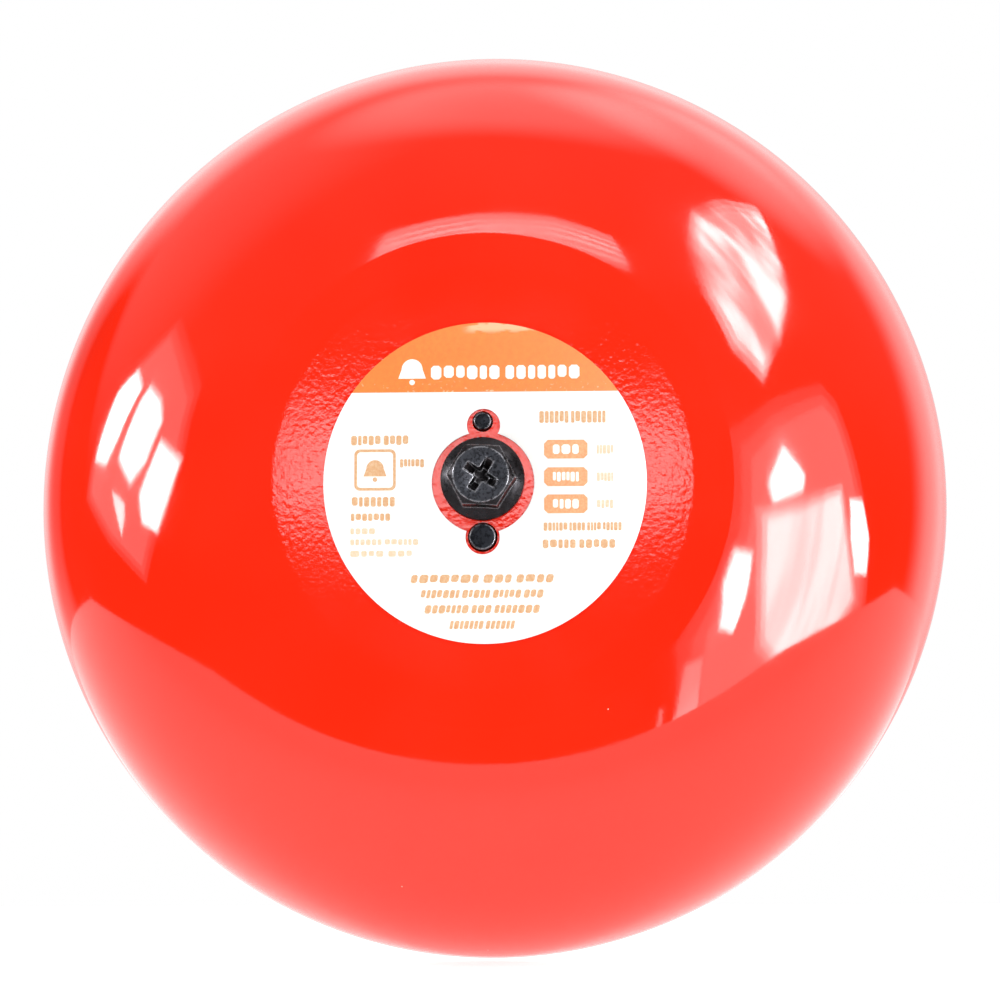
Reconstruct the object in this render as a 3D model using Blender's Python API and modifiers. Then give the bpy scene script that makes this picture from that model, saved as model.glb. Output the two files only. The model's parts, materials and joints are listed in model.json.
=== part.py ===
"""A motor-driven 8 inch fire alarm bell: red gong, bolt, cast chassis, striker drive and wall plate.

The pieces are modelled with the bell lying on its back: x is to the right, y is up the wall and z is the
depth in front of the wall. The empty named bell then stands the whole assembly up, and the gong faces -Y.
"""

import math

import bmesh
import bpy


def mm(value):
    """A length in metres from one in millimetres."""
    return value / 1000


# Gong: pressed steel, with a flat seat, a shallow bevel round it and a long round shoulder
GONG_RADIUS = mm(101.6)
GONG_WALL = mm(2.5)
GONG_RIM_Z = mm(14)
GONG_FACE_Z = mm(59)
SEAT_RADIUS = mm(46)
CREST_RADIUS = mm(54)
CREST_FALL = mm(0.45)
SHOULDER_POINTS = 8
GONG_SEGMENTS = 48

# What touches keeps this gap, and what turns in a bore keeps the smaller one
GAP = mm(0.3)
RUNNING_GAP = mm(0.2)

# Gong bolt: M8, 13 mm across flats, with a flange and a cross recess
BOLT_RADIUS = mm(4)
BOLT_END_Z = mm(32)
HEX_ACROSS_FLATS = mm(13)
HEX_TURN = math.radians(-2.7)
FLANGE_RADIUS = mm(9.1)
FLANGE_EDGE = mm(1)
FLANGE_RISE = mm(2.2)
BOLT_HEAD_HEIGHT = mm(8)
HEX_FACE_RADIUS = mm(6)
HEX_CHAMFER = mm(1.1)
BOLT_CROSS = (mm(3.4), mm(1.5), mm(3.2), math.radians(58))

# Locating pins beside the bolt, which keep the gong from turning
PIN_OFFSET = mm(12.6)
PIN_PROUD = mm(1)
PIN_CHAMFER = mm(0.3)
PIN_RADII = {"upper_locating_pin": mm(1.95), "lower_locating_pin": mm(2.9)}
PIN_SIDES = {"upper_locating_pin": 1, "lower_locating_pin": -1}

# Round label on the gong's face
LABEL_RADIUS = mm(35)
LABEL_THICKNESS = mm(0.3)
LABEL_CENTRE = (mm(0.5), mm(-0.8))
LABEL_CUTS = ((mm(0.1), mm(-0.8), mm(11.1)), (mm(0.2), mm(11.7), mm(3.6)), (mm(0), mm(-12.7), mm(3.7)))

# Wall plate, which screws to a 4 inch electrical box, and the grommet in its cable hole
PLATE_RADIUS = mm(52)
PLATE_THICKNESS = mm(2)
SLOT_CIRCLE = mm(44.45)
SLOT_LENGTH = mm(10)
SLOT_WIDTH = mm(5)
CABLE_HOLE = (mm(-31), mm(0), mm(7))
GROMMET_BORE = mm(4.5)
GROMMET_COLLAR = (mm(9), mm(2))

# Cast chassis: foot, column, pad under the gong and a deck that reaches down to the striker wheel
FOOT_RADIUS = mm(22)
FOOT_THICKNESS = mm(3)
COLUMN_RADIUS = mm(11)
COLUMN_FOOT_RADIUS = mm(13)
COLUMN_FLARE = mm(5)
PAD_RADIUS = mm(18)
PAD_THICKNESS = mm(3.5)
CUSHION_RADIUS = mm(17)
CUSHION_THICKNESS = mm(1.5)
DECK_LOW, DECK_HIGH = mm(30), mm(33)
DECK_HALF_WIDTH = mm(15.5)
DECK_TIP_RADIUS = mm(9)
DECK_RIM_WALL = mm(2)
DECK_RIM_HEIGHT = mm(5)

# Gear pair: the motor's pinion drives the striker wheel
MODULE = mm(1)
WHEEL_TEETH = 45
PINION_TEETH = 10
PRESSURE_ANGLE = math.radians(25)
ADDENDUM = 0.8 * MODULE
DEDENDUM = 1.05 * MODULE
BACKLASH = mm(0.12)
CENTRE_EXTRA = mm(0.05)
GEAR_CENTRES = MODULE * (WHEEL_TEETH + PINION_TEETH) / 2 + CENTRE_EXTRA

# Hammer, pivoted on the wheel and thrown outwards as it spins
HAMMER_PIVOT_RADIUS = mm(14.5)
HAMMER_ARM = mm(14)
HAMMER_HEAD_RADIUS = mm(5.5)
HAMMER_EYE_RADIUS = mm(3.6)
HAMMER_ARM_HALF_WIDTH = mm(2.2)
HAMMER_SWING = math.radians(75)
HAMMER_LAG = math.radians(30)
HAMMER_HEAD_Z = (mm(15.5), mm(21.7))
HAMMER_ARM_Z = (mm(17.3), mm(20.5))
HAMMER_EYE_Z = (mm(16), mm(21.7))
HAMMER_CLEARANCE = mm(0.6)
HAMMER_PIN_RADIUS = mm(1.5)
HAMMER_PIN_Z = (mm(13.9), mm(28.1))
HAMMER_CLIP_Z = (mm(14.9), mm(15.5))
HAMMER_CLIP_RADIUS = mm(3.1)

# Striker wheel
WHEEL_RIM_Z = (mm(23.7), mm(28.4))
WHEEL_WEB_Z = (mm(24.8), mm(27.2))
WHEEL_HUB_Z = (mm(22.9), mm(28.7))
WHEEL_RIM_INNER = mm(19)
WHEEL_WEB_OVERLAP = mm(0.8)
WHEEL_HUB_RADIUS = mm(6.5)
WHEEL_HOLES = 6
WHEEL_HOLE_RADIUS = mm(3.4)
WHEEL_HOLE_CIRCLE = mm(13)
WHEEL_HOLE_START, WHEEL_HOLE_STEP = math.radians(-20), math.radians(50)
PEG_LOW_Z = mm(17)
BUMPER_PEG = (mm(-2.5), mm(-9.3), mm(1))
STOP_PEG = (mm(6.5), mm(-18.9), mm(1.4))
BUMPER_RADIUS = mm(2.2)
AXLE_RADIUS = mm(2.5)
AXLE_Z = (mm(21.2), DECK_HIGH + GAP)
AXLE_FLANGE = (mm(4.5), mm(1.5))
WASHER_RADIUS = mm(5.5)
WASHER_Z = (mm(29), mm(29.7))
WHEEL_CLIP_Z = (mm(21.9), mm(22.6))
WHEEL_CLIP_RADIUS = mm(4.6)
CLIP_MOUTH = mm(2.6)

# Hammer spring: a light torsion spring round the hammer pin
SPRING_WIRE = mm(0.25)
SPRING_COIL = mm(2.35)
SPRING_TURNS = 3
SPRING_TURN_POINTS = 9
SPRING_Z = (mm(22.3), mm(24.3))
SPRING_LEG = mm(5.5)
SPRING_HOOK_Z = mm(18.5)

# Motor: a small permanent-magnet direct-current motor
CAN_RADIUS = mm(12)
CAN_WALL = mm(1)
CAN_Z = (DECK_HIGH + GAP, mm(47.8))
CAN_BOSS_RADIUS = mm(4)
CAN_BOSS_Z = mm(30.8)
BEARING_RADIUS = mm(3)
BEARING_Z = (mm(31), mm(34))
SHAFT_RADIUS = mm(1)
SHAFT_Z = (mm(23.2), mm(50.3))
PINION_Z = (mm(24.1), mm(29))
CAP_FLANGE_Z = (mm(48.1), mm(50.6))
CAP_SPIGOT = (mm(10.7), mm(46.8))
CAP_POCKET = (mm(4), mm(49.6))
MAGNET_RADII = (mm(8.4), mm(10.7))
MAGNET_Z = (mm(36), mm(46))
MAGNET_HALF_ANGLE = math.radians(62)
CORE_RADIUS = mm(7.8)
CORE_Z = (mm(37), mm(45))
CORE_POLES = 3
CORE_SLOT = mm(1.6)
WINDING_RADIUS = mm(6)
WINDING_Z = (mm(35.8), mm(46.2))
COMMUTATOR_RADIUS = mm(2.4)
COMMUTATOR_Z = (mm(46.6), mm(49.2))
BRUSH_SIZE = (mm(1.1), mm(2), mm(2))
BRUSH_OFFSET = mm(3.25)
TERMINAL_SIZE = (mm(0.5), mm(2.4), mm(2.9))
TERMINAL_OFFSET = mm(5.5)
MOTOR_SCREW_OFFSET = mm(8.5)

# Circuit board, which hides behind the gong above the column
BOARD_SIZE = (mm(44), mm(30), mm(1.6))
BOARD_CENTRE_Y = mm(36)
BOARD_Z = mm(12)
STANDOFF_FLATS = mm(5)
STANDOFF_PLACES = [(mm(x), mm(y)) for x in (-18.5, 18.5) for y in (24.5, 47.5)]
BLOCK_POLES = 4
BLOCK_PITCH = mm(5.08)
BLOCK_SIZE = (BLOCK_POLES * BLOCK_PITCH, mm(8.5), mm(10))
BLOCK_Y = mm(45.5)
WELL_RADIUS, WELL_DEPTH = mm(2), mm(3)
WIRE_MOUTH = (mm(3), mm(4), mm(3))
BRIDGE_SIZE = (mm(8.5), mm(6.4), mm(3.4))
BRIDGE_PLACE = (mm(-13), mm(34))
CAPACITOR_PLACE = (mm(12.5), mm(33))
CAPACITOR_RADIUS, CAPACITOR_HEIGHT = mm(4), mm(11)
VARISTOR_PLACE = (mm(0.5), mm(35.5))
VARISTOR_RADIUS, VARISTOR_THICKNESS = mm(4.2), mm(3)
RESISTOR_PLACE = (mm(-1), mm(27))
RESISTOR_RADIUS, RESISTOR_LENGTH = mm(1.2), mm(6.5)
LEAD_RADIUS = mm(0.65)

# Screws: head radius, head height, shank radius, shank length, recess reach
CHASSIS_SCREW = (mm(3.8), mm(2.6), mm(1.9), mm(4.9), mm(2.1))
CHASSIS_SCREW_CIRCLE = mm(17)
BOARD_SCREW = (mm(2.3), mm(1.5), mm(1.1), mm(5.5), mm(1.3))
MOTOR_SCREW = (mm(2.1), mm(1.5), mm(1.1), mm(5), mm(1.2))
TERMINAL_SCREW = (mm(1.6), mm(1), mm(1), mm(3), mm(1.1))
RECESS_DEPTH, RECESS_WIDTH = 0.6, 0.4  # of the head's height, and of the recess's reach
RECESS_TURN = math.radians(20)

# Sides of a round piece
ROUND = 20
FINE_ROUND = 28
SMALL_ROUND = 12


# ---------------------------------------------------------------- scene, materials and placing


def clear_scene():
    for obj in list(bpy.data.objects):
        bpy.data.objects.remove(obj, do_unlink=True)


def new_collection(name, hidden=False):
    collection = bpy.data.collections.new(name)
    collection.hide_render = hidden
    bpy.context.scene.collection.children.link(collection)
    return collection


def new_material(name, colour, roughness, metallic=0.0):
    material = bpy.data.materials.new(name)
    material.use_nodes = True
    shader = material.node_tree.nodes["Principled BSDF"]
    shader.inputs["Base Color"].default_value = (*colour, 1)
    shader.inputs["Roughness"].default_value = roughness
    shader.inputs["Metallic"].default_value = metallic
    material.diffuse_color = (*colour, 1)
    return material


def new_empty(name, place=(0, 0, 0), parent=None):
    empty = bpy.data.objects.new(name, None)
    empty.location = place
    empty.parent = parent
    PARTS.objects.link(empty)
    return empty


def shade(mesh):
    mesh.shade_smooth()
    mesh.set_sharp_from_angle(angle=math.radians(35))


def add_object(name, mesh, material=None, parent=None, place=(0, 0)):
    """An object in the assembly, or a helper for a Boolean where it has no material."""
    obj = bpy.data.objects.new(name, mesh)
    obj.location = (*place, 0)
    obj.parent = parent or BELL
    if material is None:
        obj.display_type = "WIRE"
        obj.hide_render = True
        CUTTERS.objects.link(obj)
    else:
        mesh.materials.append(material)
        PARTS.objects.link(obj)
    return obj


def boolean(obj, operation, others):
    for other in others:
        modifier = obj.modifiers.new(f"{operation.lower()} {other.name}", "BOOLEAN")
        modifier.operation = operation
        modifier.solver = "EXACT"
        modifier.object = other
    return obj


def cut(obj, *cutters):
    return boolean(obj, "DIFFERENCE", cutters)


def join(obj, *others):
    return boolean(obj, "UNION", others)


# ---------------------------------------------------------------- shapes


def cylinder(name, radius, low, high, segments=ROUND, **where):
    """A round bar along z, or a prism where it has few segments."""
    shape = bmesh.new()
    bmesh.ops.create_cone(
        shape, cap_ends=True, segments=segments, radius1=radius, radius2=radius, depth=high - low
    )
    bmesh.ops.translate(shape, vec=(0, 0, (low + high) / 2), verts=shape.verts)
    mesh = bpy.data.meshes.new(name)
    shape.to_mesh(mesh)
    shape.free()
    shade(mesh)
    return add_object(name, mesh, **where)


def block(name, size, centre, **where):
    """A box with its sides along the axes."""
    shape = bmesh.new()
    bmesh.ops.create_cube(shape, size=1)
    bmesh.ops.scale(shape, vec=size, verts=shape.verts)
    bmesh.ops.translate(shape, vec=centre, verts=shape.verts)
    mesh = bpy.data.meshes.new(name)
    shape.to_mesh(mesh)
    shape.free()
    return add_object(name, mesh, **where)


def turned(name, outline, segments=ROUND, closed=False, **where):
    """A solid of revolution about z. The outline is (radius, z) points, down its outer side."""
    mesh = bpy.data.meshes.new(name)
    last = len(outline) - 1
    edges = [(i, i + 1) for i in range(last)] + ([(last, 0)] if closed else [])
    mesh.from_pydata([(radius, 0, z) for radius, z in outline], edges, [])
    obj = add_object(name, mesh, **where)
    screw = obj.modifiers.new("turn", "SCREW")
    screw.steps = screw.render_steps = segments
    screw.use_merge_vertices = True
    screw.merge_threshold = 1e-6
    screw.use_smooth_shade = True
    return obj


def ring(name, outer, inner, low, high, segments=ROUND, **where):
    outline = [(outer, high), (outer, low), (inner, low), (inner, high)]
    return turned(name, outline, segments, closed=True, **where)


def plate(name, loops, low, high, **where):
    """A flat plate from closed (x, y) loops. Loops inside the first are its holes."""
    curve = bpy.data.curves.new(name, "CURVE")
    curve.dimensions = "2D"
    curve.fill_mode = "BOTH"
    curve.extrude = (high - low) / 2
    for loop in loops:
        spline = curve.splines.new("POLY")
        spline.points.add(len(loop) - 1)
        spline.use_cyclic_u = True
        for point, (x, y) in zip(spline.points, loop):
            point.co = (x, y, 0, 1)
    mesh = mesh_of_curve(curve)
    for vertex in mesh.vertices:
        vertex.co.z += (low + high) / 2
    return add_object(name, mesh, **where)


def mesh_of_curve(curve):
    """The curve's surface as a mesh, with its caps welded on and its faces turned outwards."""
    guide = bpy.data.objects.new(curve.name + " guide", curve)
    bpy.context.scene.collection.objects.link(guide)
    graph = bpy.context.evaluated_depsgraph_get()
    mesh = bpy.data.meshes.new_from_object(guide.evaluated_get(graph))
    bpy.data.objects.remove(guide)
    shape = bmesh.new()
    shape.from_mesh(mesh)
    bmesh.ops.remove_doubles(shape, verts=shape.verts, dist=1e-7)
    bmesh.ops.recalc_face_normals(shape, faces=shape.faces)
    shape.to_mesh(mesh)
    shape.free()
    shade(mesh)
    return mesh


def wire(name, points, radius, **where):
    """A round wire along a list of points."""
    curve = bpy.data.curves.new(name, "CURVE")
    curve.dimensions = "3D"
    curve.bevel_depth = radius
    curve.bevel_resolution = 2
    curve.use_fill_caps = True
    spline = curve.splines.new("POLY")
    spline.points.add(len(points) - 1)
    for point, place in zip(spline.points, points):
        point.co = (*place, 1)
    return add_object(name, mesh_of_curve(curve), **where)


def arc(centre, radius, start, end, count):
    """Points along an arc, both ends included."""
    angles = [start + (end - start) * i / count for i in range(count + 1)]
    return [(centre[0] + radius * math.cos(a), centre[1] + radius * math.sin(a)) for a in angles]


def circle(centre, radius, count=ROUND):
    return arc(centre, radius, 0, 2 * math.pi, count)[:-1]


def slot(angle, circle_radius, length, width):
    """A slot with round ends, across the radius at that angle."""
    reach = (length - width) / 2
    centres = [(reach, math.pi / 2), (-reach, -math.pi / 2)]
    points = []
    for along, turn in centres:
        centre = (0, along)
        points += arc(centre, width / 2, turn - math.pi / 2, turn + math.pi / 2, 6)
    return [
        (
            (circle_radius + x) * math.cos(angle) - y * math.sin(angle),
            (circle_radius + x) * math.sin(angle) + y * math.cos(angle),
        )
        for x, y in points
    ]


def smooth_route(stops, per_stop):
    """Points on a smooth curve through the stops (a Catmull-Rom spline)."""
    ends = [stops[0], *stops, stops[-1]]
    points = []
    for a, b, c, d in zip(ends, ends[1:], ends[2:], ends[3:]):
        for i in range(per_stop):
            t = i / per_stop
            weights = (
                (-t + 2 * t**2 - t**3) / 2,
                (2 - 5 * t**2 + 3 * t**3) / 2,
                (t + 4 * t**2 - 3 * t**3) / 2,
                (t**3 - t**2) / 2,
            )
            points.append([sum(w * p[k] for w, p in zip(weights, (a, b, c, d))) for k in range(3)])
    points.append(stops[-1])
    return points


def cross_cutter(name, reach, width, depth, turn, middle, **where):
    """Two crossed bars that cut a cross recess, centred at that height."""
    bars = []
    for index, angle in enumerate((turn, turn + math.pi / 2)):
        bar = block(f"{name} {index}", (2 * reach, width, depth), (0, 0, 0), **where)
        bar.location.z = middle
        bar.rotation_euler.z = angle
        bars.append(bar)
    return bars


def screw(name, kind, seat, place, down=False, slotted=False):
    """A steel pan-head screw that stands on its seat with its shank below, or the other way up."""
    head_radius, head_height, shank_radius, length, reach = kind
    side = -1 if down else 1
    outline = [
        (0, head_height),
        (0.7 * head_radius, 0.93 * head_height),
        (head_radius, 0.45 * head_height),
        (head_radius, 0),
        (shank_radius, 0),
        (shank_radius, -length),
        (0, -length),
    ]
    points = [(radius, seat + side * z) for radius, z in outline]
    obj = turned(name, points[::side], SMALL_ROUND, material=STEEL, place=place)
    depth = RECESS_DEPTH * head_height
    middle = seat + side * (head_height - depth / 2 + mm(0.05))
    width = RECESS_WIDTH * reach
    bars = cross_cutter(f"{name} recess", reach, width, depth, RECESS_TURN, middle, place=place)
    return cut(obj, *(bars[:1] if slotted else bars))


def screw_hole(name, kind, low, high, place):
    """A cutter for a screw's clearance hole."""
    return cylinder(name, kind[2] + GAP, low, high, SMALL_ROUND, place=place)


# ---------------------------------------------------------------- places that follow from the dimensions


def gong_side(inset):
    """(radius, z) points of the gong's outer or inner side, from the seat's edge to the rim."""
    crest = GONG_FACE_Z - CREST_FALL - inset
    points = [(SEAT_RADIUS, GONG_FACE_Z - inset)]
    for i in range(SHOULDER_POINTS + 1):
        angle = math.pi / 2 * i / SHOULDER_POINTS
        radius = CREST_RADIUS + (GONG_RADIUS - inset - CREST_RADIUS) * math.sin(angle)
        points.append((radius, GONG_RIM_Z + (crest - GONG_RIM_Z) * math.cos(angle)))
    return points


def gong_inner_radius(z):
    """The gong's inner radius on its shoulder, at this depth."""
    share = (z - GONG_RIM_Z) / (GONG_FACE_Z - CREST_FALL - GONG_WALL - GONG_RIM_Z)
    return CREST_RADIUS + (GONG_RADIUS - GONG_WALL - CREST_RADIUS) * math.sqrt(1 - share**2)


def reach_from_wheel(lag):
    """How far the hammer's head centre is from the wheel's axis, at this angle from straight out."""
    return math.sqrt(
        HAMMER_PIVOT_RADIUS**2 + HAMMER_ARM**2 + 2 * HAMMER_PIVOT_RADIUS * HAMMER_ARM * math.cos(lag)
    )


THROWN_REACH = reach_from_wheel(HAMMER_LAG)
WHEEL_Y = THROWN_REACH + HAMMER_HEAD_RADIUS + HAMMER_CLEARANCE - gong_inner_radius(HAMMER_HEAD_Z[1])
MOTOR_Y = WHEEL_Y + GEAR_CENTRES
PIVOT_OFFSET = math.acos(
    (HAMMER_PIVOT_RADIUS**2 + THROWN_REACH**2 - HAMMER_ARM**2) / (2 * HAMMER_PIVOT_RADIUS * THROWN_REACH)
)
PIVOT = (HAMMER_PIVOT_RADIUS * math.sin(PIVOT_OFFSET), -HAMMER_PIVOT_RADIUS * math.cos(PIVOT_OFFSET))
HAMMER_REST_ANGLE = math.atan2(PIVOT[1], PIVOT[0]) - HAMMER_LAG - HAMMER_SWING
SEAT_UNDERSIDE_Z = GONG_FACE_Z - GONG_WALL
CUSHION_Z = (SEAT_UNDERSIDE_Z - GAP - CUSHION_THICKNESS, SEAT_UNDERSIDE_Z - GAP)
PAD_Z = (CUSHION_Z[0] - GAP - PAD_THICKNESS, CUSHION_Z[0] - GAP)
FOOT_Z = (PLATE_THICKNESS + GAP, PLATE_THICKNESS + GAP + FOOT_THICKNESS)
BOARD_TOP = BOARD_Z + BOARD_SIZE[2]
FOOT_SCREW_PLACES = circle((0, 0), CHASSIS_SCREW_CIRCLE, 8)[1::2]


# ---------------------------------------------------------------- gong and what holds it


def make_gong():
    outer, inner = gong_side(0), gong_side(GONG_WALL)
    outline = [(0, GONG_FACE_Z), *outer, *reversed(inner), (0, SEAT_UNDERSIDE_Z)]
    gong = turned("gong", outline, GONG_SEGMENTS, material=RED_PAINT)
    low, high = SEAT_UNDERSIDE_Z - mm(2), GONG_FACE_Z + mm(2)
    holes = [cylinder("gong bolt hole", BOLT_RADIUS + 2 * GAP, low, high, FINE_ROUND)]
    for name, radius in PIN_RADII.items():
        place = (0, PIN_SIDES[name] * PIN_OFFSET)
        holes.append(cylinder(f"gong hole for {name}", radius + GAP, low, high, place=place))
    cut(gong, *holes)


def make_label():
    low = GONG_FACE_Z + GAP
    label = cylinder(
        "gong_label", LABEL_RADIUS, low, low + LABEL_THICKNESS, 48, material=LABEL_WHITE, place=LABEL_CENTRE
    )
    openings = [
        cylinder(f"label opening {i}", radius, low - mm(1), low + mm(1), FINE_ROUND, place=(x, y))
        for i, (x, y, radius) in enumerate(LABEL_CUTS)
    ]
    cut(label, *openings)


def make_gong_bolt():
    seat = GONG_FACE_Z + GAP
    top = seat + BOLT_HEAD_HEIGHT
    corner = HEX_ACROSS_FLATS / math.sqrt(3)
    outline = [
        (0, seat + FLANGE_RISE + mm(1)),
        (0.9 * HEX_ACROSS_FLATS / 2, seat + FLANGE_RISE + mm(1)),
        (1.02 * corner, seat + FLANGE_RISE),
        (FLANGE_RADIUS, seat + FLANGE_EDGE),
        (FLANGE_RADIUS, seat + mm(0.2)),
        (FLANGE_RADIUS - mm(0.3), seat),
        (BOLT_RADIUS, seat),
        (BOLT_RADIUS, BOLT_END_Z + mm(0.8)),
        (BOLT_RADIUS - mm(0.8), BOLT_END_Z),
        (0, BOLT_END_Z),
    ]
    bolt = turned("gong_bolt", outline, FINE_ROUND, material=BLACK_STEEL)
    hexagon = cylinder("bolt hexagon", corner, seat + mm(1), top, 6)
    hexagon.rotation_euler.z = math.pi / 2 + HEX_TURN
    crown = turned(
        "bolt crown",
        [
            (0, top),
            (HEX_FACE_RADIUS, top),
            (corner + mm(0.1), top - HEX_CHAMFER),
            (corner + mm(0.1), seat),
            (0, seat),
        ],
        FINE_ROUND,
    )
    boolean(hexagon, "INTERSECT", [crown])
    join(bolt, hexagon)
    reach, width, depth, turn = BOLT_CROSS
    cut(bolt, *cross_cutter("bolt recess", reach, width, depth, turn, top + mm(0.05) - depth / 2))


def make_locating_pins():
    for name, radius in PIN_RADII.items():
        top = GONG_FACE_Z + PIN_PROUD
        outline = [
            (0, top),
            (radius - PIN_CHAMFER, top),
            (radius, top - PIN_CHAMFER),
            (radius, PAD_Z[0] + mm(0.5)),
            (0, PAD_Z[0] + mm(0.5)),
        ]
        turned(name, outline, material=BLACK_STEEL, place=(0, PIN_SIDES[name] * PIN_OFFSET))


def pin_hole_cutters(name, low, high):
    """Cutters for the bolt's and the pins' holes through one piece."""
    cutters = [cylinder(f"{name} bolt hole", BOLT_RADIUS + GAP, low, high)]
    for pin, radius in PIN_RADII.items():
        place = (0, PIN_SIDES[pin] * PIN_OFFSET)
        cutters.append(cylinder(f"{name} hole for {pin}", radius + GAP, low, high, place=place))
    return cutters


def make_cushion():
    cushion = cylinder("gong_cushion", CUSHION_RADIUS, *CUSHION_Z, FINE_ROUND, material=RUBBER)
    cut(cushion, *pin_hole_cutters("cushion", CUSHION_Z[0] - mm(1), CUSHION_Z[1] + mm(1)))


# ---------------------------------------------------------------- chassis and wall plate


def deck_outline(inset=0.0):
    """The deck's edge: straight sides past the motor, narrowing to a round tip at the wheel's axle."""
    wide, tip = DECK_HALF_WIDTH - inset, DECK_TIP_RADIUS - inset
    slope = math.asin((wide - tip) / GEAR_CENTRES)
    motor, wheel = (0, MOTOR_Y), (0, WHEEL_Y)
    return [
        *arc((0, 0), wide, math.pi, 0, 14),
        *arc(motor, wide, 0, -slope, 3),
        *arc(wheel, tip, -slope, slope - math.pi, 10),
        *arc(motor, wide, slope - math.pi, -math.pi, 3),
    ]


def make_chassis():
    outline = [
        (0, PAD_Z[1]),
        (PAD_RADIUS, PAD_Z[1]),
        (PAD_RADIUS, PAD_Z[0]),
        (COLUMN_RADIUS, PAD_Z[0] - mm(3)),
        (COLUMN_RADIUS, FOOT_Z[1] + COLUMN_FLARE),
        (COLUMN_FOOT_RADIUS, FOOT_Z[1]),
        (FOOT_RADIUS, FOOT_Z[1]),
        (FOOT_RADIUS, FOOT_Z[0]),
        (0, FOOT_Z[0]),
    ]
    chassis = turned("chassis", outline, FINE_ROUND, material=BLACK_CAST)
    deck = plate("deck", [deck_outline()], DECK_LOW, DECK_HIGH)
    rim_loops = [deck_outline(), deck_outline(DECK_RIM_WALL)]
    rim = plate("deck rim", rim_loops, DECK_HIGH - mm(0.5), DECK_HIGH + DECK_RIM_HEIGHT)
    join(chassis, deck, rim)
    through = (DECK_LOW - mm(1), DECK_HIGH + mm(1))
    cutters = pin_hole_cutters("pad", PAD_Z[0] - mm(0.5), PAD_Z[1] + mm(1))
    cutters.append(cylinder("column bore", BOLT_RADIUS + GAP, BOLT_END_Z - mm(2), PAD_Z[1] + mm(1)))
    cutters.append(cylinder("motor opening", CAN_BOSS_RADIUS + GAP, *through, place=(0, MOTOR_Y)))
    cutters.append(cylinder("axle hole", AXLE_RADIUS + GAP, *through, place=(0, WHEEL_Y)))
    for side in (-1, 1):
        place = (side * MOTOR_SCREW_OFFSET, MOTOR_Y)
        cutters.append(screw_hole(f"motor screw hole {side}", MOTOR_SCREW, *through, place))
    for i, place in enumerate(FOOT_SCREW_PLACES):
        low, high = FOOT_Z[0] - mm(1), FOOT_Z[1] + mm(1)
        cutters.append(screw_hole(f"foot hole {i}", CHASSIS_SCREW, low, high, place))
    cut(chassis, *cutters)


def make_wall_plate():
    slots = [slot(math.radians(45 + 90 * i), SLOT_CIRCLE, SLOT_LENGTH, SLOT_WIDTH) for i in range(4)]
    screw_holes = [circle(place, CHASSIS_SCREW[2] + GAP, SMALL_ROUND) for place in FOOT_SCREW_PLACES]
    x, y, radius = CABLE_HOLE
    loops = [circle((0, 0), PLATE_RADIUS, 48), *slots, *screw_holes, circle((x, y), radius)]
    plate("mounting_plate", loops, 0, PLATE_THICKNESS, material=ZINC)


def make_grommet():
    x, y, hole = CABLE_HOLE
    collar, height = GROMMET_COLLAR
    shoulder = PLATE_THICKNESS + GAP
    outline = [
        (collar - mm(0.8), shoulder + height),
        (collar, shoulder + height - mm(0.8)),
        (collar, shoulder),
        (hole - GAP, shoulder),
        (hole - GAP, GAP),
        (GROMMET_BORE, GAP),
        (GROMMET_BORE, shoulder + height),
    ]
    turned("wire_grommet", outline, closed=True, material=RUBBER, place=(x, y))


def make_chassis_screws():
    for i, place in enumerate(FOOT_SCREW_PLACES):
        screw(f"chassis_screw_{i + 1}", CHASSIS_SCREW, FOOT_Z[1] + GAP, place)


# ---------------------------------------------------------------- circuit board


def make_board():
    centre = (0, BOARD_CENTRE_Y, (BOARD_Z + BOARD_TOP) / 2)
    board = block("circuit_board", BOARD_SIZE, centre, material=BOARD_GREEN)
    low, high = PLATE_THICKNESS + GAP, BOARD_Z - GAP
    corner = STANDOFF_FLATS / math.sqrt(3)
    for i, place in enumerate(STANDOFF_PLACES, 1):
        cut(board, screw_hole(f"board hole {i}", BOARD_SCREW, BOARD_Z - mm(1), BOARD_TOP + mm(1), place))
        post = cylinder(f"board_standoff_{i}", corner, low, high, 6, material=BRASS, place=place)
        cut(post, screw_hole(f"standoff bore {i}", BOARD_SCREW, low + mm(2), high + mm(1), place))
        screw(f"board_screw_{i}", BOARD_SCREW, BOARD_TOP + GAP, place)


def make_terminal_block():
    width, depth, height = BLOCK_SIZE
    low = BOARD_TOP + GAP
    body = block("terminal_block", BLOCK_SIZE, (0, BLOCK_Y, low + height / 2), material=BLOCK_GREEN)
    bevel = body.modifiers.new("soft edges", "BEVEL")
    bevel.width = mm(0.4)
    bevel.segments = 1
    for i in range(BLOCK_POLES):
        place = ((i - (BLOCK_POLES - 1) / 2) * BLOCK_PITCH, BLOCK_Y)
        floor = low + height - WELL_DEPTH
        well = cylinder(f"screw well {i}", WELL_RADIUS, floor, floor + mm(4), SMALL_ROUND, place=place)
        bore = screw_hole(f"screw bore {i}", TERMINAL_SCREW, floor - mm(3.5), floor + mm(1), place)
        mouth_centre = (place[0], BLOCK_Y + depth / 2, low + mm(3))
        cut(body, well, bore, block(f"wire mouth {i}", WIRE_MOUTH, mouth_centre))
        screw(f"terminal_screw_{i + 1}", TERMINAL_SCREW, floor + GAP, place, slotted=True)


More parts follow.
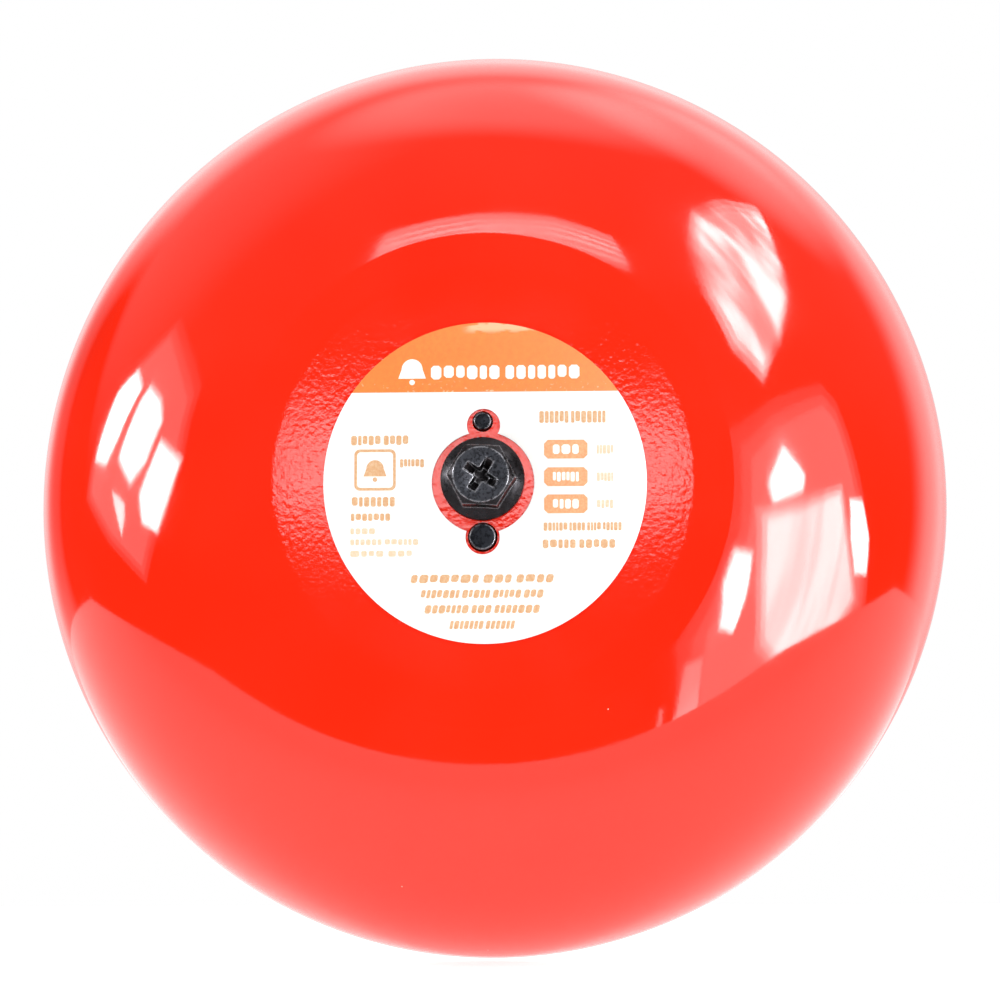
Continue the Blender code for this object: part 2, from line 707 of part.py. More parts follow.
def make_components():
    low = BOARD_TOP + GAP
    bridge = block(
        "bridge_rectifier",
        BRIDGE_SIZE,
        (*BRIDGE_PLACE, low + BRIDGE_SIZE[2] / 2),
        material=BLACK_PLASTIC,
    )
    bevel = bridge.modifiers.new("soft edges", "BEVEL")
    bevel.width = mm(0.5)
    bevel.segments = 1
    top = low + CAPACITOR_HEIGHT
    turned(
        "smoothing_capacitor",
        [
            (0, top - mm(0.3)),
            (CAPACITOR_RADIUS - mm(1), top - mm(0.3)),
            (CAPACITOR_RADIUS - mm(0.7), top),
            (CAPACITOR_RADIUS, top - mm(0.6)),
            (CAPACITOR_RADIUS, low + mm(1.6)),
            (CAPACITOR_RADIUS - mm(0.4), low + mm(1.2)),
            (CAPACITOR_RADIUS, low + mm(0.8)),
            (CAPACITOR_RADIUS, low),
            (0, low),
        ],
        material=SLEEVE_BLUE,
        place=CAPACITOR_PLACE,
    )
    make_lying_disc("varistor", VARISTOR_RADIUS, VARISTOR_THICKNESS, VARISTOR_PLACE, "y", VARISTOR_ORANGE)
    make_lying_disc("dropper_resistor", RESISTOR_RADIUS, RESISTOR_LENGTH, RESISTOR_PLACE, "x", RESISTOR_TAN)


def make_lying_disc(name, radius, length, place, along, material):
    """A round component that lies on the board, with slightly rounded ends."""
    soft = min(0.3 * length, 0.3 * radius)
    half = length / 2
    outline = [(0, half), (radius - soft, half), (radius, half - soft)]
    outline += [(r, -z) for r, z in reversed(outline)]
    obj = turned(name, outline, SMALL_ROUND, material=material, place=place)
    obj.location.z = BOARD_TOP + GAP + radius
    if along == "x":
        obj.rotation_euler.y = math.pi / 2
    else:
        obj.rotation_euler.x = math.pi / 2


def make_motor_leads():
    """Two leads from the board, round the column and down to the motor's terminals."""
    for name, side, material in (("motor_lead_red", 1, WIRE_RED), ("motor_lead_black", -1, WIRE_BLACK)):
        stops = [
            (14, 23, 14.3),
            (16, 18, 16.5),
            (19, 8, 24),
            (20.5, -4, 34),
            (19.5, -15, 44),
            (15, -25, 50.5),
            (9.5, MOTOR_Y * 1000 + 4, 53),
            (TERMINAL_OFFSET * 1000 + 1.4, MOTOR_Y * 1000, 52.6),
        ]
        route = smooth_route([(side * mm(x), mm(y), mm(z)) for x, y, z in stops], 3)
        wire(name, route, LEAD_RADIUS, material=material)


# ---------------------------------------------------------------- motor


def make_motor_case():
    where = {"place": (0, MOTOR_Y)}
    inner = CAN_RADIUS - CAN_WALL
    floor = CAN_Z[0] + CAN_WALL
    bore = BEARING_RADIUS + GAP
    outline = [
        (CAN_RADIUS, CAN_Z[1]),
        (CAN_RADIUS, CAN_Z[0] + mm(0.6)),
        (CAN_RADIUS - mm(0.6), CAN_Z[0]),
        (CAN_BOSS_RADIUS, CAN_Z[0]),
        (CAN_BOSS_RADIUS, CAN_BOSS_Z),
        (bore, CAN_BOSS_Z),
        (bore, floor),
        (inner, floor),
        (inner, CAN_Z[1]),
    ]
    can = turned("motor_can", outline, FINE_ROUND, closed=True, material=ZINC, **where)
    for side in (-1, 1):
        place = (side * MOTOR_SCREW_OFFSET, MOTOR_Y)
        low, high = CAN_Z[0] - mm(1), floor + mm(1)
        cut(can, screw_hole(f"can screw hole {side}", MOTOR_SCREW, low, high, place))
        screw(f"motor_screw_{1 if side < 0 else 2}", MOTOR_SCREW, DECK_LOW - GAP, place, down=True)
    spigot, spigot_z = CAP_SPIGOT
    pocket, pocket_z = CAP_POCKET
    hole = SHAFT_RADIUS + GAP
    outline = [
        (CAN_RADIUS - mm(0.5), CAP_FLANGE_Z[1]),
        (CAN_RADIUS, CAP_FLANGE_Z[1] - mm(0.5)),
        (CAN_RADIUS, CAP_FLANGE_Z[0]),
        (spigot, CAP_FLANGE_Z[0]),
        (spigot, spigot_z),
        (pocket, spigot_z),
        (pocket, pocket_z),
        (hole, pocket_z),
        (hole, CAP_FLANGE_Z[1]),
    ]
    turned("motor_end_cap", outline, FINE_ROUND, closed=True, material=BLACK_PLASTIC, **where)
    ring("motor_bearing", BEARING_RADIUS, SHAFT_RADIUS + RUNNING_GAP, *BEARING_Z, material=BRONZE, **where)


def make_motor_inside():
    where = {"place": (0, MOTOR_Y)}
    inner, outer = MAGNET_RADII
    for i, middle in enumerate((0, math.pi), 1):
        first, last = middle - MAGNET_HALF_ANGLE, middle + MAGNET_HALF_ANGLE
        loop = arc((0, 0), outer, first, last, 10) + arc((0, 0), inner, last, first, 10)
        plate(f"motor_magnet_{i}", [loop], *MAGNET_Z, material=FERRITE, **where)
        side = math.cos(middle)
        middle_z = sum(COMMUTATOR_Z) / 2
        block(f"motor_brush_{i}", BRUSH_SIZE, (side * BRUSH_OFFSET, 0, middle_z), material=CARBON, **where)
        low = CAP_FLANGE_Z[1] + GAP
        centre = (side * TERMINAL_OFFSET, 0, low + TERMINAL_SIZE[2] / 2)
        block(f"motor_terminal_{i}", TERMINAL_SIZE, centre, material=BRASS, **where)


def make_rotor():
    """The motor's turning pieces: shaft, armature, commutator and pinion."""
    turned(
        "motor_shaft",
        [
            (0, SHAFT_Z[1]),
            (SHAFT_RADIUS, SHAFT_Z[1]),
            (SHAFT_RADIUS, SHAFT_Z[0] + mm(0.2)),
            (SHAFT_RADIUS - mm(0.2), SHAFT_Z[0]),
            (0, SHAFT_Z[0]),
        ],
        SMALL_ROUND,
        material=STEEL,
        parent=ROTOR,
    )
    bore = SHAFT_RADIUS + GAP
    armature = cylinder("motor_armature", CORE_RADIUS, *CORE_Z, material=COPPER, parent=ROTOR)
    slots = []
    for i in range(CORE_POLES):
        bar = block(
            f"armature slot {i}",
            (CORE_RADIUS, CORE_SLOT, mm(20)),
            (CORE_RADIUS / 2 + mm(4), 0, sum(CORE_Z) / 2),
            parent=ROTOR,
        )
        bar.rotation_euler.z = 2 * math.pi * i / CORE_POLES
        slots.append(bar)
    cut(armature, *slots)
    join(armature, cylinder("winding", WINDING_RADIUS, *WINDING_Z, parent=ROTOR))
    cut(armature, cylinder("armature bore", bore, mm(30), mm(50), SMALL_ROUND, parent=ROTOR))
    segments = (*COMMUTATOR_Z, SMALL_ROUND)
    ring("motor_commutator", COMMUTATOR_RADIUS, bore, *segments, material=COPPER, parent=ROTOR)
    loops = [gear_outline(PINION_TEETH, 0, 4), circle((0, 0), bore, SMALL_ROUND)]
    plate("motor_pinion", loops, *PINION_Z, material=BRASS, parent=ROTOR)


# ---------------------------------------------------------------- gears, striker wheel and hammer


def involute(angle):
    return math.tan(angle) - angle


def gear_outline(teeth, first_tooth, flank_points):
    """The edge of a spur gear with involute flanks, with its first tooth at that angle."""
    pitch = MODULE * teeth / 2
    base = pitch * math.cos(PRESSURE_ANGLE)
    root, tip = pitch - DEDENDUM, pitch + ADDENDUM
    half_tooth = (math.pi * MODULE / 2 - BACKLASH) / (2 * pitch)
    start = max(base, root)

    def half_angle(radius):
        return half_tooth + involute(PRESSURE_ANGLE) - involute(math.acos(min(1, base / radius)))

    radii = [start + (tip - start) * i / (flank_points - 1) for i in range(flank_points)]
    flank = [(radius, half_angle(radius)) for radius in radii]
    if root < base:
        flank.insert(0, (root, half_angle(base)))
    points = []
    for tooth in range(teeth):
        middle = first_tooth + 2 * math.pi * tooth / teeth
        points += [(radius, middle - half) for radius, half in flank]
        points += [(radius, middle + half) for radius, half in reversed(flank)]
    return [(radius * math.cos(a), radius * math.sin(a)) for radius, a in points]


def make_striker_wheel():
    rim_loops = [gear_outline(WHEEL_TEETH, math.pi / 2, 3), circle((0, 0), WHEEL_RIM_INNER, 36)]
    wheel = plate("striker_wheel", rim_loops, *WHEEL_RIM_Z, material=NYLON, parent=WHEEL)
    holes = []
    for i in range(WHEEL_HOLES):
        angle = WHEEL_HOLE_START + i * WHEEL_HOLE_STEP
        centre = (WHEEL_HOLE_CIRCLE * math.cos(angle), WHEEL_HOLE_CIRCLE * math.sin(angle))
        holes.append(circle(centre, WHEEL_HOLE_RADIUS, SMALL_ROUND))
    web_loops = [circle((0, 0), WHEEL_RIM_INNER + WHEEL_WEB_OVERLAP, 36), *holes]
    web = plate("wheel web", web_loops, *WHEEL_WEB_Z, parent=WHEEL)
    hub = cylinder("wheel hub", WHEEL_HUB_RADIUS, *WHEEL_HUB_Z, parent=WHEEL)
    boss_z = (WHEEL_WEB_Z[0] - mm(0.1), WHEEL_RIM_Z[1])
    boss = cylinder("pivot boss", HAMMER_EYE_RADIUS, *boss_z, parent=WHEEL, place=PIVOT)
    pegs = []
    for name, (x, y, radius) in (("bumper peg", BUMPER_PEG), ("stop peg", STOP_PEG)):
        heights = (PEG_LOW_Z, sum(WHEEL_WEB_Z) / 2, SMALL_ROUND)
        pegs.append(cylinder(name, radius, *heights, parent=WHEEL, place=(x, y)))
    join(wheel, web, hub, boss, *pegs)
    bore = cylinder("wheel bore", AXLE_RADIUS + RUNNING_GAP, mm(20), mm(32), parent=WHEEL)
    pin_hole = cylinder("pin hole", HAMMER_PIN_RADIUS + GAP, mm(20), mm(32), parent=WHEEL, place=PIVOT)
    cut(wheel, bore, pin_hole)


def make_bumper():
    x, y, peg = BUMPER_PEG
    heights = (PEG_LOW_Z + mm(0.3), WHEEL_WEB_Z[0] - GAP, SMALL_ROUND)
    where = {"parent": WHEEL, "place": (x, y)}
    ring("hammer_bumper", BUMPER_RADIUS, peg + GAP, *heights, material=RUBBER, **where)


def make_axle():
    radius, height = AXLE_FLANGE
    low, seat = AXLE_Z
    outline = [
        (0, seat + height),
        (radius - mm(0.3), seat + height),
        (radius, seat + height - mm(0.3)),
        (radius, seat),
        (AXLE_RADIUS, seat),
        (AXLE_RADIUS, low + mm(0.3)),
        (AXLE_RADIUS - mm(0.3), low),
        (0, low),
    ]
    turned("wheel_axle", outline, material=STEEL, place=(0, WHEEL_Y))
    ring("wheel_washer", WASHER_RADIUS, AXLE_RADIUS + GAP, *WASHER_Z, material=STEEL, place=(0, WHEEL_Y))


def make_clip(name, outer, shaft, low, high, **where):
    """A C-shaped retaining clip that opens to the right."""
    inner = shaft + GAP
    mouth = CLIP_MOUTH / 2
    a, b = math.asin(mouth / outer), math.asin(mouth / inner)
    loop = arc((0, 0), outer, a, 2 * math.pi - a, 20) + arc((0, 0), inner, 2 * math.pi - b, b, 14)
    plate(name, [loop], low, high, material=STEEL, **where)


def make_hammer():
    half = HAMMER_ARM_HALF_WIDTH
    arm = block(
        "hammer arm",
        (HAMMER_ARM, 2 * half, HAMMER_ARM_Z[1] - HAMMER_ARM_Z[0]),
        (HAMMER_ARM / 2, 0, sum(HAMMER_ARM_Z) / 2),
        parent=HAMMER,
    )
    arm.rotation_euler.z = HAMMER_REST_ANGLE
    head_place = (HAMMER_ARM * math.cos(HAMMER_REST_ANGLE), HAMMER_ARM * math.sin(HAMMER_REST_ANGLE))
    low, high = HAMMER_HEAD_Z
    edge = mm(0.6)
    outline = [
        (0, high),
        (HAMMER_HEAD_RADIUS - edge, high),
        (HAMMER_HEAD_RADIUS, high - edge),
        (HAMMER_HEAD_RADIUS, low + edge),
        (HAMMER_HEAD_RADIUS - edge, low),
        (0, low),
    ]
    hammer = turned("hammer", outline, material=STEEL, parent=HAMMER, place=head_place)
    eye = cylinder("hammer eye", HAMMER_EYE_RADIUS, *HAMMER_EYE_Z, parent=HAMMER)
    join(hammer, arm, eye)
    cut(hammer, cylinder("eye bore", HAMMER_PIN_RADIUS + RUNNING_GAP, mm(10), mm(30), parent=HAMMER))


def make_hammer_pin():
    low, high = HAMMER_PIN_Z
    radius = HAMMER_PIN_RADIUS
    outline = [(0, high), (radius, high), (radius, low + mm(0.3)), (radius - mm(0.3), low), (0, low)]
    turned("hammer_pin", outline, material=STEEL, parent=WHEEL, place=PIVOT)
    make_clip("hammer_clip", HAMMER_CLIP_RADIUS, radius, *HAMMER_CLIP_Z, parent=WHEEL, place=PIVOT)


def make_hammer_spring():
    """Coil round the pin: one leg lies across the wheel, the other hooks over the hammer's outer edge."""
    low, high = SPRING_Z
    start = HAMMER_REST_ANGLE + math.pi / 2
    count = SPRING_TURNS * SPRING_TURN_POINTS
    coil = []
    for i in range(count + 1):
        angle = start + 2 * math.pi * i / SPRING_TURN_POINTS
        z = low + (high - low) * i / count
        coil.append((SPRING_COIL * math.cos(angle), SPRING_COIL * math.sin(angle), z))
    along = (math.cos(HAMMER_REST_ANGLE), math.sin(HAMMER_REST_ANGLE))
    outward = (math.cos(start), math.sin(start))
    side = HAMMER_ARM_HALF_WIDTH + GAP + SPRING_WIRE
    hook = [
        (along[0] * SPRING_LEG + outward[0] * side, along[1] * SPRING_LEG + outward[1] * side, z)
        for z in (SPRING_HOOK_Z, low)
    ]
    tail = (coil[-1][0] - along[0] * SPRING_LEG, coil[-1][1] - along[1] * SPRING_LEG, high)
    wire("hammer_spring", [*hook, *coil, tail], SPRING_WIRE, material=STEEL, parent=WHEEL, place=PIVOT)


# ---------------------------------------------------------------- assembly

clear_scene()
PARTS = new_collection("fire_alarm_bell")
CUTTERS = new_collection("cutters", hidden=True)

BELL = new_empty("bell")
BELL.rotation_euler.x = math.pi / 2
ROTOR = new_empty("motor axis", (0, MOTOR_Y, 0), BELL)
WHEEL = new_empty("striker wheel axis", (0, WHEEL_Y, 0), BELL)
HAMMER = new_empty("hammer axis", (*PIVOT, 0), WHEEL)

RED_PAINT = new_material("red_paint", (0.85, 0.02, 0.005), 0.15)
LABEL_WHITE = new_material("label", (0.95, 0.94, 0.92), 0.35)
BLACK_STEEL = new_material("black_steel", (0.02, 0.02, 0.022), 0.3, 0.6)
BLACK_CAST = new_material("black_casting", (0.025, 0.025, 0.027), 0.6, 0.3)
ZINC = new_material("zinc_plate", (0.62, 0.63, 0.64), 0.35, 1.0)
STEEL = new_material("steel", (0.55, 0.55, 0.56), 0.3, 1.0)
BRASS = new_material("brass", (0.72, 0.52, 0.2), 0.3, 1.0)
BRONZE = new_material("bronze", (0.5, 0.3, 0.14), 0.45, 1.0)
COPPER = new_material("copper", (0.7, 0.3, 0.14), 0.35, 1.0)
RUBBER = new_material("rubber", (0.02, 0.02, 0.02), 0.8)
NYLON = new_material("nylon", (0.85, 0.83, 0.76), 0.45)
BLACK_PLASTIC = new_material("black_plastic", (0.03, 0.03, 0.03), 0.4)
FERRITE = new_material("ferrite", (0.06, 0.06, 0.065), 0.7)
CARBON = new_material("carbon", (0.04, 0.04, 0.04), 0.6)
BOARD_GREEN = new_material("circuit_board", (0.02, 0.16, 0.06), 0.4)
BLOCK_GREEN = new_material("terminal_block", (0.03, 0.3, 0.1), 0.45)
SLEEVE_BLUE = new_material("capacitor_sleeve", (0.03, 0.06, 0.2), 0.3)
VARISTOR_ORANGE = new_material("varistor_coat", (0.7, 0.25, 0.04), 0.4)
RESISTOR_TAN = new_material("resistor_body", (0.62, 0.48, 0.3), 0.5)
WIRE_RED = new_material("red_wire", (0.6, 0.02, 0.02), 0.45)
WIRE_BLACK = new_material("black_wire", (0.02, 0.02, 0.02), 0.45)

make_gong()
make_label()
make_gong_bolt()
make_locating_pins()
make_cushion()
make_chassis()
make_wall_plate()
make_grommet()
make_chassis_screws()
make_board()
make_terminal_block()
make_components()
make_motor_leads()
make_motor_case()
make_motor_inside()
make_rotor()
make_striker_wheel()
make_bumper()
make_axle()
make_clip("wheel_clip", WHEEL_CLIP_RADIUS, AXLE_RADIUS, *WHEEL_CLIP_Z, place=(0, WHEEL_Y))
make_hammer()
make_hammer_pin()
make_hammer_spring()
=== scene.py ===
"""The looks of the fire alarm bell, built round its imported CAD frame.

World axes: +X right, +Y into the wall, +Z up. A point's depth is its distance in front of the wall, so its
y is minus its depth. Outlines of turned pieces are lists of (radius, depth) round an axis along Y.
"""

import json
import math
import random

import bmesh
import bpy
from mathutils import Matrix, Vector


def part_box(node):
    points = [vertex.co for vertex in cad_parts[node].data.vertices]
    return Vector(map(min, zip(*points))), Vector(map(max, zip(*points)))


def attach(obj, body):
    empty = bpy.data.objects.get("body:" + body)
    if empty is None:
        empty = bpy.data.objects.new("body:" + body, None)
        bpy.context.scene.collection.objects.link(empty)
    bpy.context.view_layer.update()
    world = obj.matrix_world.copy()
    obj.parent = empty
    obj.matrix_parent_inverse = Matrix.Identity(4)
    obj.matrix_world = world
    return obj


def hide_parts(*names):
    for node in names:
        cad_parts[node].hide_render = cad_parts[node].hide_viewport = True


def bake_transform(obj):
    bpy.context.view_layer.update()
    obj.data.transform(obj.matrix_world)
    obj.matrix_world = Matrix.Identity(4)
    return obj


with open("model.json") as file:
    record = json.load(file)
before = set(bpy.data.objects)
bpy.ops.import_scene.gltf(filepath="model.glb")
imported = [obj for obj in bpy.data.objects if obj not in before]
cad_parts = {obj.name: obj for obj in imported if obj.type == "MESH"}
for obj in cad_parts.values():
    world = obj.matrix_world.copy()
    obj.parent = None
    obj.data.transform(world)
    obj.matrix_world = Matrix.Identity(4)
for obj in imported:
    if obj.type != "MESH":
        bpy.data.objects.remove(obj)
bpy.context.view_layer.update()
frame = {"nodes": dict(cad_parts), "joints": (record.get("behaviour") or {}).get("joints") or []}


def mm(value):
    """Millimetres in metres."""
    return value / 1000


# ---------------------------------------------------------------- places read from the frame


def low_corner(node):
    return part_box(node)[0]


def depths(node):
    """(back, front) depth of a CAD node in front of the wall."""
    low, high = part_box(node)
    return -high.y, -low.y


def centre(node):
    """(x, z) of the middle of a CAD node."""
    low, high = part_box(node)
    return ((low.x + high.x) / 2, (low.z + high.z) / 2)


def radius_of(node):
    low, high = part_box(node)
    return (high.x - low.x) / 2


def joint_axis(name):
    """(x, z) of a joint's axis."""
    joint = next(j for j in frame["joints"] if j["name"] == name)
    return joint["pos_m"][0], joint["pos_m"][2]


WHEEL_AXIS = joint_axis("wheel_spin")
MOTOR_AXIS = joint_axis("motor_spin")
PIVOT_AXIS = joint_axis("hammer_swing")

# The gong: a flat seat, a shallow bevel down to the crest, then a round shoulder with an extra drop at first
GONG_RADIUS = radius_of("gong")
GONG_RIM, FACE = depths("gong")
GONG_WALL = mm(2.5)
GONG_RIM_EDGE = GONG_WALL / 2
SEAT_RADIUS = mm(46.5)
CREST_RADIUS = mm(54)
CREST = FACE - mm(0.45)
CREST_BEND = mm(0.35)
CREST_LEAD, SHOULDER_STEPS = mm(1.4), 64
SHOULDER_DROP, SHOULDER_DROP_REACH = mm(1.7), mm(12)

# The bolt and the pins beside it, with the holes they pass through
BOLT_TOP = depths("gong_bolt")[1]
BOLT_HEAD = mm(8)
BOLT_SEAT = BOLT_TOP - BOLT_HEAD
FLANGE_RADIUS = radius_of("gong_bolt")
HEX_FLATS = mm(13)
HEX_TURN = math.radians(-2.7)
BOLT_HOLE = mm(4.6)
PINS = ("upper_locating_pin", "lower_locating_pin")
PIN_GAP = mm(0.3)
PIN_HOLES = [(centre(pin), radius_of(pin) + PIN_GAP) for pin in PINS]

# Behind the gong: the motor's wire, the chassis's deck, the plate's slots, the hammer, its spring and screws
WIRE_PITCH = mm(0.35)
DECK_BACK, DECK_FRONT = mm(30), mm(33)
DECK_HALF_WIDTH, DECK_TIP_RADIUS = mm(15.5), mm(9)
SLOT_CIRCLE = mm(44.45)
HAMMER_HEAD_RADIUS = mm(5.5)
HAMMER_HEAD = (low_corner("hammer").x + HAMMER_HEAD_RADIUS, centre("hammer")[1])
HAMMER_REST = math.atan2(HAMMER_HEAD[1] - PIVOT_AXIS[1], HAMMER_HEAD[0] - PIVOT_AXIS[0])
SPRING_COIL, SPRING_LEG = mm(2.35), mm(5.5)
CHASSIS_SCREWS = [f"chassis_screw_{i}" for i in range(1, 5)]
MOTOR_SCREWS = ["motor_screw_1", "motor_screw_2"]
RECESS_TURN = math.radians(20)

LABEL_CENTRE = centre("gong_label")
LABEL_RADIUS = radius_of("gong_label")
LABEL_TOP = depths("gong_label")[1]
# How far above its drawn place the whole print sits
PRINT_RISE = mm(0.4)
# The label's opening: a hole for the bolt and a lobe at each pin, as (x, z, radius)
LABEL_CUTS = ((mm(0.1), mm(-0.8), mm(11.1)), (mm(0.2), mm(11.7), mm(3.6)), (mm(0), mm(-12.7), mm(3.7)))
# The orange band's foot, and where its rubbed patch starts and is full, from each side
BAND_FOOT = LABEL_CENTRE[1] + mm(19.8)
SCUFF_SIDES = ((mm(-5), mm(-2)), (mm(13), mm(9)))

# Where component legs go through the board, and the tracks between them on its front
LEGS = [
    (centre(node)[0] + mm(x), centre(node)[1] + mm(z))
    for node, legs in (
        ("bridge_rectifier", ((-5.4, -2.3), (-5.4, 2.3), (5.4, -2.3), (5.4, 2.3))),
        ("smoothing_capacitor", ((-1, -5.2), (1.5, -5.2))),
        ("dropper_resistor", ((-4.4, 0), (4.4, 0))),
    )
    for x, z in legs
]
TRACKS = [
    [(mm(x), mm(z)) for x, z in route]
    for route in (
        ((-19, 40), (-19, 31.7), (-18.4, 31.7)),
        ((-18.4, 36.3), (-16, 39), (-7.6, 39), (-7.6, 41)),
        ((-7.6, 31.7), (-6, 30), (-5.4, 27)),
        ((-7.6, 36.3), (-5, 37.5), (-5, 40), (2.5, 40)),
        ((3.4, 27), (8, 27), (11.5, 27.8)),
        ((14, 27.8), (14, 23.5)),
        ((-14, 23.5), (-10, 24.5), (-5.4, 24.5), (-5.4, 27)),
        ((18, 40), (18, 30), (15, 27.8)),
    )
]

# The camera: where it stands from AIM, as (azimuth, elevation) in degrees and metres, and its lens
AIM = Vector((0, -0.033, 0))
CAMERA_WAY, CAMERA_DISTANCE = (3.1, -7.4), 1.1
CAMERA_LENS, CAMERA_SHIFT = 178.9, (0.0108, -0.0053)

# The board under the bell: level behind its bend, and sloping down to the front before it
FLOOR_TILT = math.radians(14)
FLOOR_LINE = -GONG_RIM
FLOOR_HEIGHT = -GONG_RADIUS - mm(0.3)
FLOOR_BEND = mm(45)
FLOOR_HALF_WIDTH, FLOOR_REACH = 0.6, 0.7

# Lights and dark things stand this far off, those in front of others a little nearer
ROOM_DISTANCE, NEARER = 3.0, 2.9

# Windows and their panes, as (azimuth, elevation) corners in degrees
LEFT_WINDOW = [
    *((-57, 30), (-72, 25), (-88, 16), (-93, 6)),
    *((-76, -1), (-58, -6), (-48, 1), (-36, 9), (-34, 17)),
]
LEFT_PANES = [
    (40, [(-70, 24), (-63, 21), (-72, 14), (-79, 10), (-88, 11), (-80, 21)]),
    (40, [(-59, 21), (-50, 18), (-47, 15), (-53, 10), (-62, 7), (-71, 11), (-63, 19)]),
    (40, [(-47, 13), (-36, 10), (-42, 5), (-48, 1), (-56, 2), (-57, 6)]),
    (20, [(-74, 7), (-65, 5), (-65, 3), (-68, 0)]),
]
RIGHT_WINDOW = [
    *((16, 11), (26, 15), (52, 21), (58, 19), (69, 5), (81, -13), (67, -17), (48, -22)),
    *((27, -13), (26, -24), (20, -21), (12, -6), (16, 4)),
]
RIGHT_PANES = [
    (22, [(20, 5), (34, 5), (56, 7), (62, -1), (73, -11), (67, -17), (48, -22), (31, -13), (23, -2)]),
    (40, [(29, 11), (38, 8), (37, 6), (25, 5), (23, 7)]),
    (40, [(60, 5), (68, 5), (74, -1), (76, -7), (68, -7), (62, -1)]),
    (40, [(17, 2), (21, 1), (22, -4), (22, -8), (18, -6), (16, -1)]),
    (7, [(14, -8), (17, -8), (26, -24), (20, -22)]),
    (5, [(14, -14), (15, -15), (19, -23), (18, -23)]),
]
UPPER_WINDOW = [(20, 19), (19, 25), (23, 34), (38, 48), (60, 54), (82, 53), (57, 36), (38, 24), (26, 17)]
SLATS = (8, 10, 10, 8, 5)
# Smooth bright and dark patches in the room: azimuth, elevation, cosine of the radius, strength
ROOM_PATCHES = ((117, 62, 0.9, 2.2), (-88, 50, 0.75, 0.5), (-125, 13, 0.86, -1.5))


# ---------------------------------------------------------------- mesh tools


def finish_mesh(name, bm, materials, body="root", replaces=None, sharp=35):
    """Makes an object of the mesh: smooth but for sharp edges, riding on its body."""
    bmesh.ops.recalc_face_normals(bm, faces=bm.faces)
    mesh = bpy.data.meshes.new(name)
    bm.to_mesh(mesh)
    bm.free()
    mesh.shade_smooth()
    mesh.set_sharp_from_angle(angle=math.radians(sharp))
    for material in materials if isinstance(materials, list) else [materials]:
        mesh.materials.append(material)
    obj = bpy.data.objects.new(name, mesh)
    bpy.context.scene.collection.objects.link(obj)
    if body:
        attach(obj, body)
    if replaces:
        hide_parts(replaces)
    return obj


def lathe(outline, place=(0, 0), segments=96, closed=False):
    """A mesh turned round an axis along Y from (radius, depth) points."""
    bm = bmesh.new()
    rings = []
    for radius, depth in outline:
        if radius < 1e-7:
            rings.append([bm.verts.new((place[0], -depth, place[1]))])
            continue
        ring = []
        for i in range(segments):
            angle = 2 * math.pi * i / segments
            x, z = place[0] + radius * math.cos(angle), place[1] + radius * math.sin(angle)
            ring.append(bm.verts.new((x, -depth, z)))
        rings.append(ring)
    pairs = list(zip(rings, rings[1:]))
    if closed:
        pairs.append((rings[-1], rings[0]))
    for a, b in pairs:
        for i in range(segments):
            j = (i + 1) % segments
            if len(a) == 1 and len(b) == 1:
                break
            if len(a) == 1:
                bm.faces.new((a[0], b[j], b[i]))
            elif len(b) == 1:
                bm.faces.new((a[i], a[j], b[0]))
            else:
                bm.faces.new((a[i], a[j], b[j], b[i]))
    bmesh.ops.recalc_face_normals(bm, faces=bm.faces)
    return bm


def rounded(corners, steps=4):
    """The outline with small arcs at those corners that carry a radius, as their third value."""
    points = []
    for i, corner in enumerate(corners):
        here = Vector(corner[:2])
        size = corner[2] if len(corner) > 2 else 0
        if i in (0, len(corners) - 1) or size <= 0:
            points.append(tuple(here))
            continue
        before, after = Vector(corners[i - 1][:2]), Vector(corners[i + 1][:2])
        reach = min(size, 0.45 * (before - here).length, 0.45 * (after - here).length)
        start = here + (before - here).normalized() * reach
        end = here + (after - here).normalized() * reach
        for k in range(steps + 1):
            t = k / steps
            points.append(tuple(start * (1 - t) ** 2 + here * 2 * t * (1 - t) + end * t**2))
    return points


def arc(middle, radius, start, end, count):
    """Points along an arc, both ends included."""
    angles = [start + (end - start) * i / count for i in range(count + 1)]
    return [(middle[0] + radius * math.cos(a), middle[1] + radius * math.sin(a)) for a in angles]


def circle(middle, radius, count=48):
    return arc(middle, radius, 0, 2 * math.pi, count)[:-1]


def slab(loops, back, front, edge=0.0, steps=2):
    """A flat piece across the depths, from closed (x, z) outlines, with rounded edges."""
    curve = bpy.data.curves.new("slab", "CURVE")
    curve.dimensions = "2D"
    curve.fill_mode = "BOTH"
    curve.extrude = (front - back) / 2 - edge
    curve.bevel_depth = edge
    curve.bevel_resolution = steps
    curve.offset = -edge
    for loop in loops:
        spline = curve.splines.new("POLY")
        spline.points.add(len(loop) - 1)
        for point, (x, z) in zip(spline.points, loop):
            point.co = (x, z, 0, 1)
        spline.use_cyclic_u = True
    bm = mesh_of_curve(curve)
    turn = Matrix.Rotation(math.pi / 2, 4, "X")
    bm.transform(Matrix.Translation((0, -(back + front) / 2, 0)) @ turn)
    return bm


def mesh_of_curve(curve):
    obj = bpy.data.objects.new(curve.name, curve)
    bpy.context.scene.collection.objects.link(obj)
    evaluated = obj.evaluated_get(bpy.context.evaluated_depsgraph_get())
    mesh = bpy.data.meshes.new_from_object(evaluated)
    bm = bmesh.new()
    bm.from_mesh(mesh)
    bmesh.ops.remove_doubles(bm, verts=bm.verts, dist=1e-7)
    bpy.data.objects.remove(obj)
    bpy.data.curves.remove(curve)
    bpy.data.meshes.remove(mesh)
    return bm


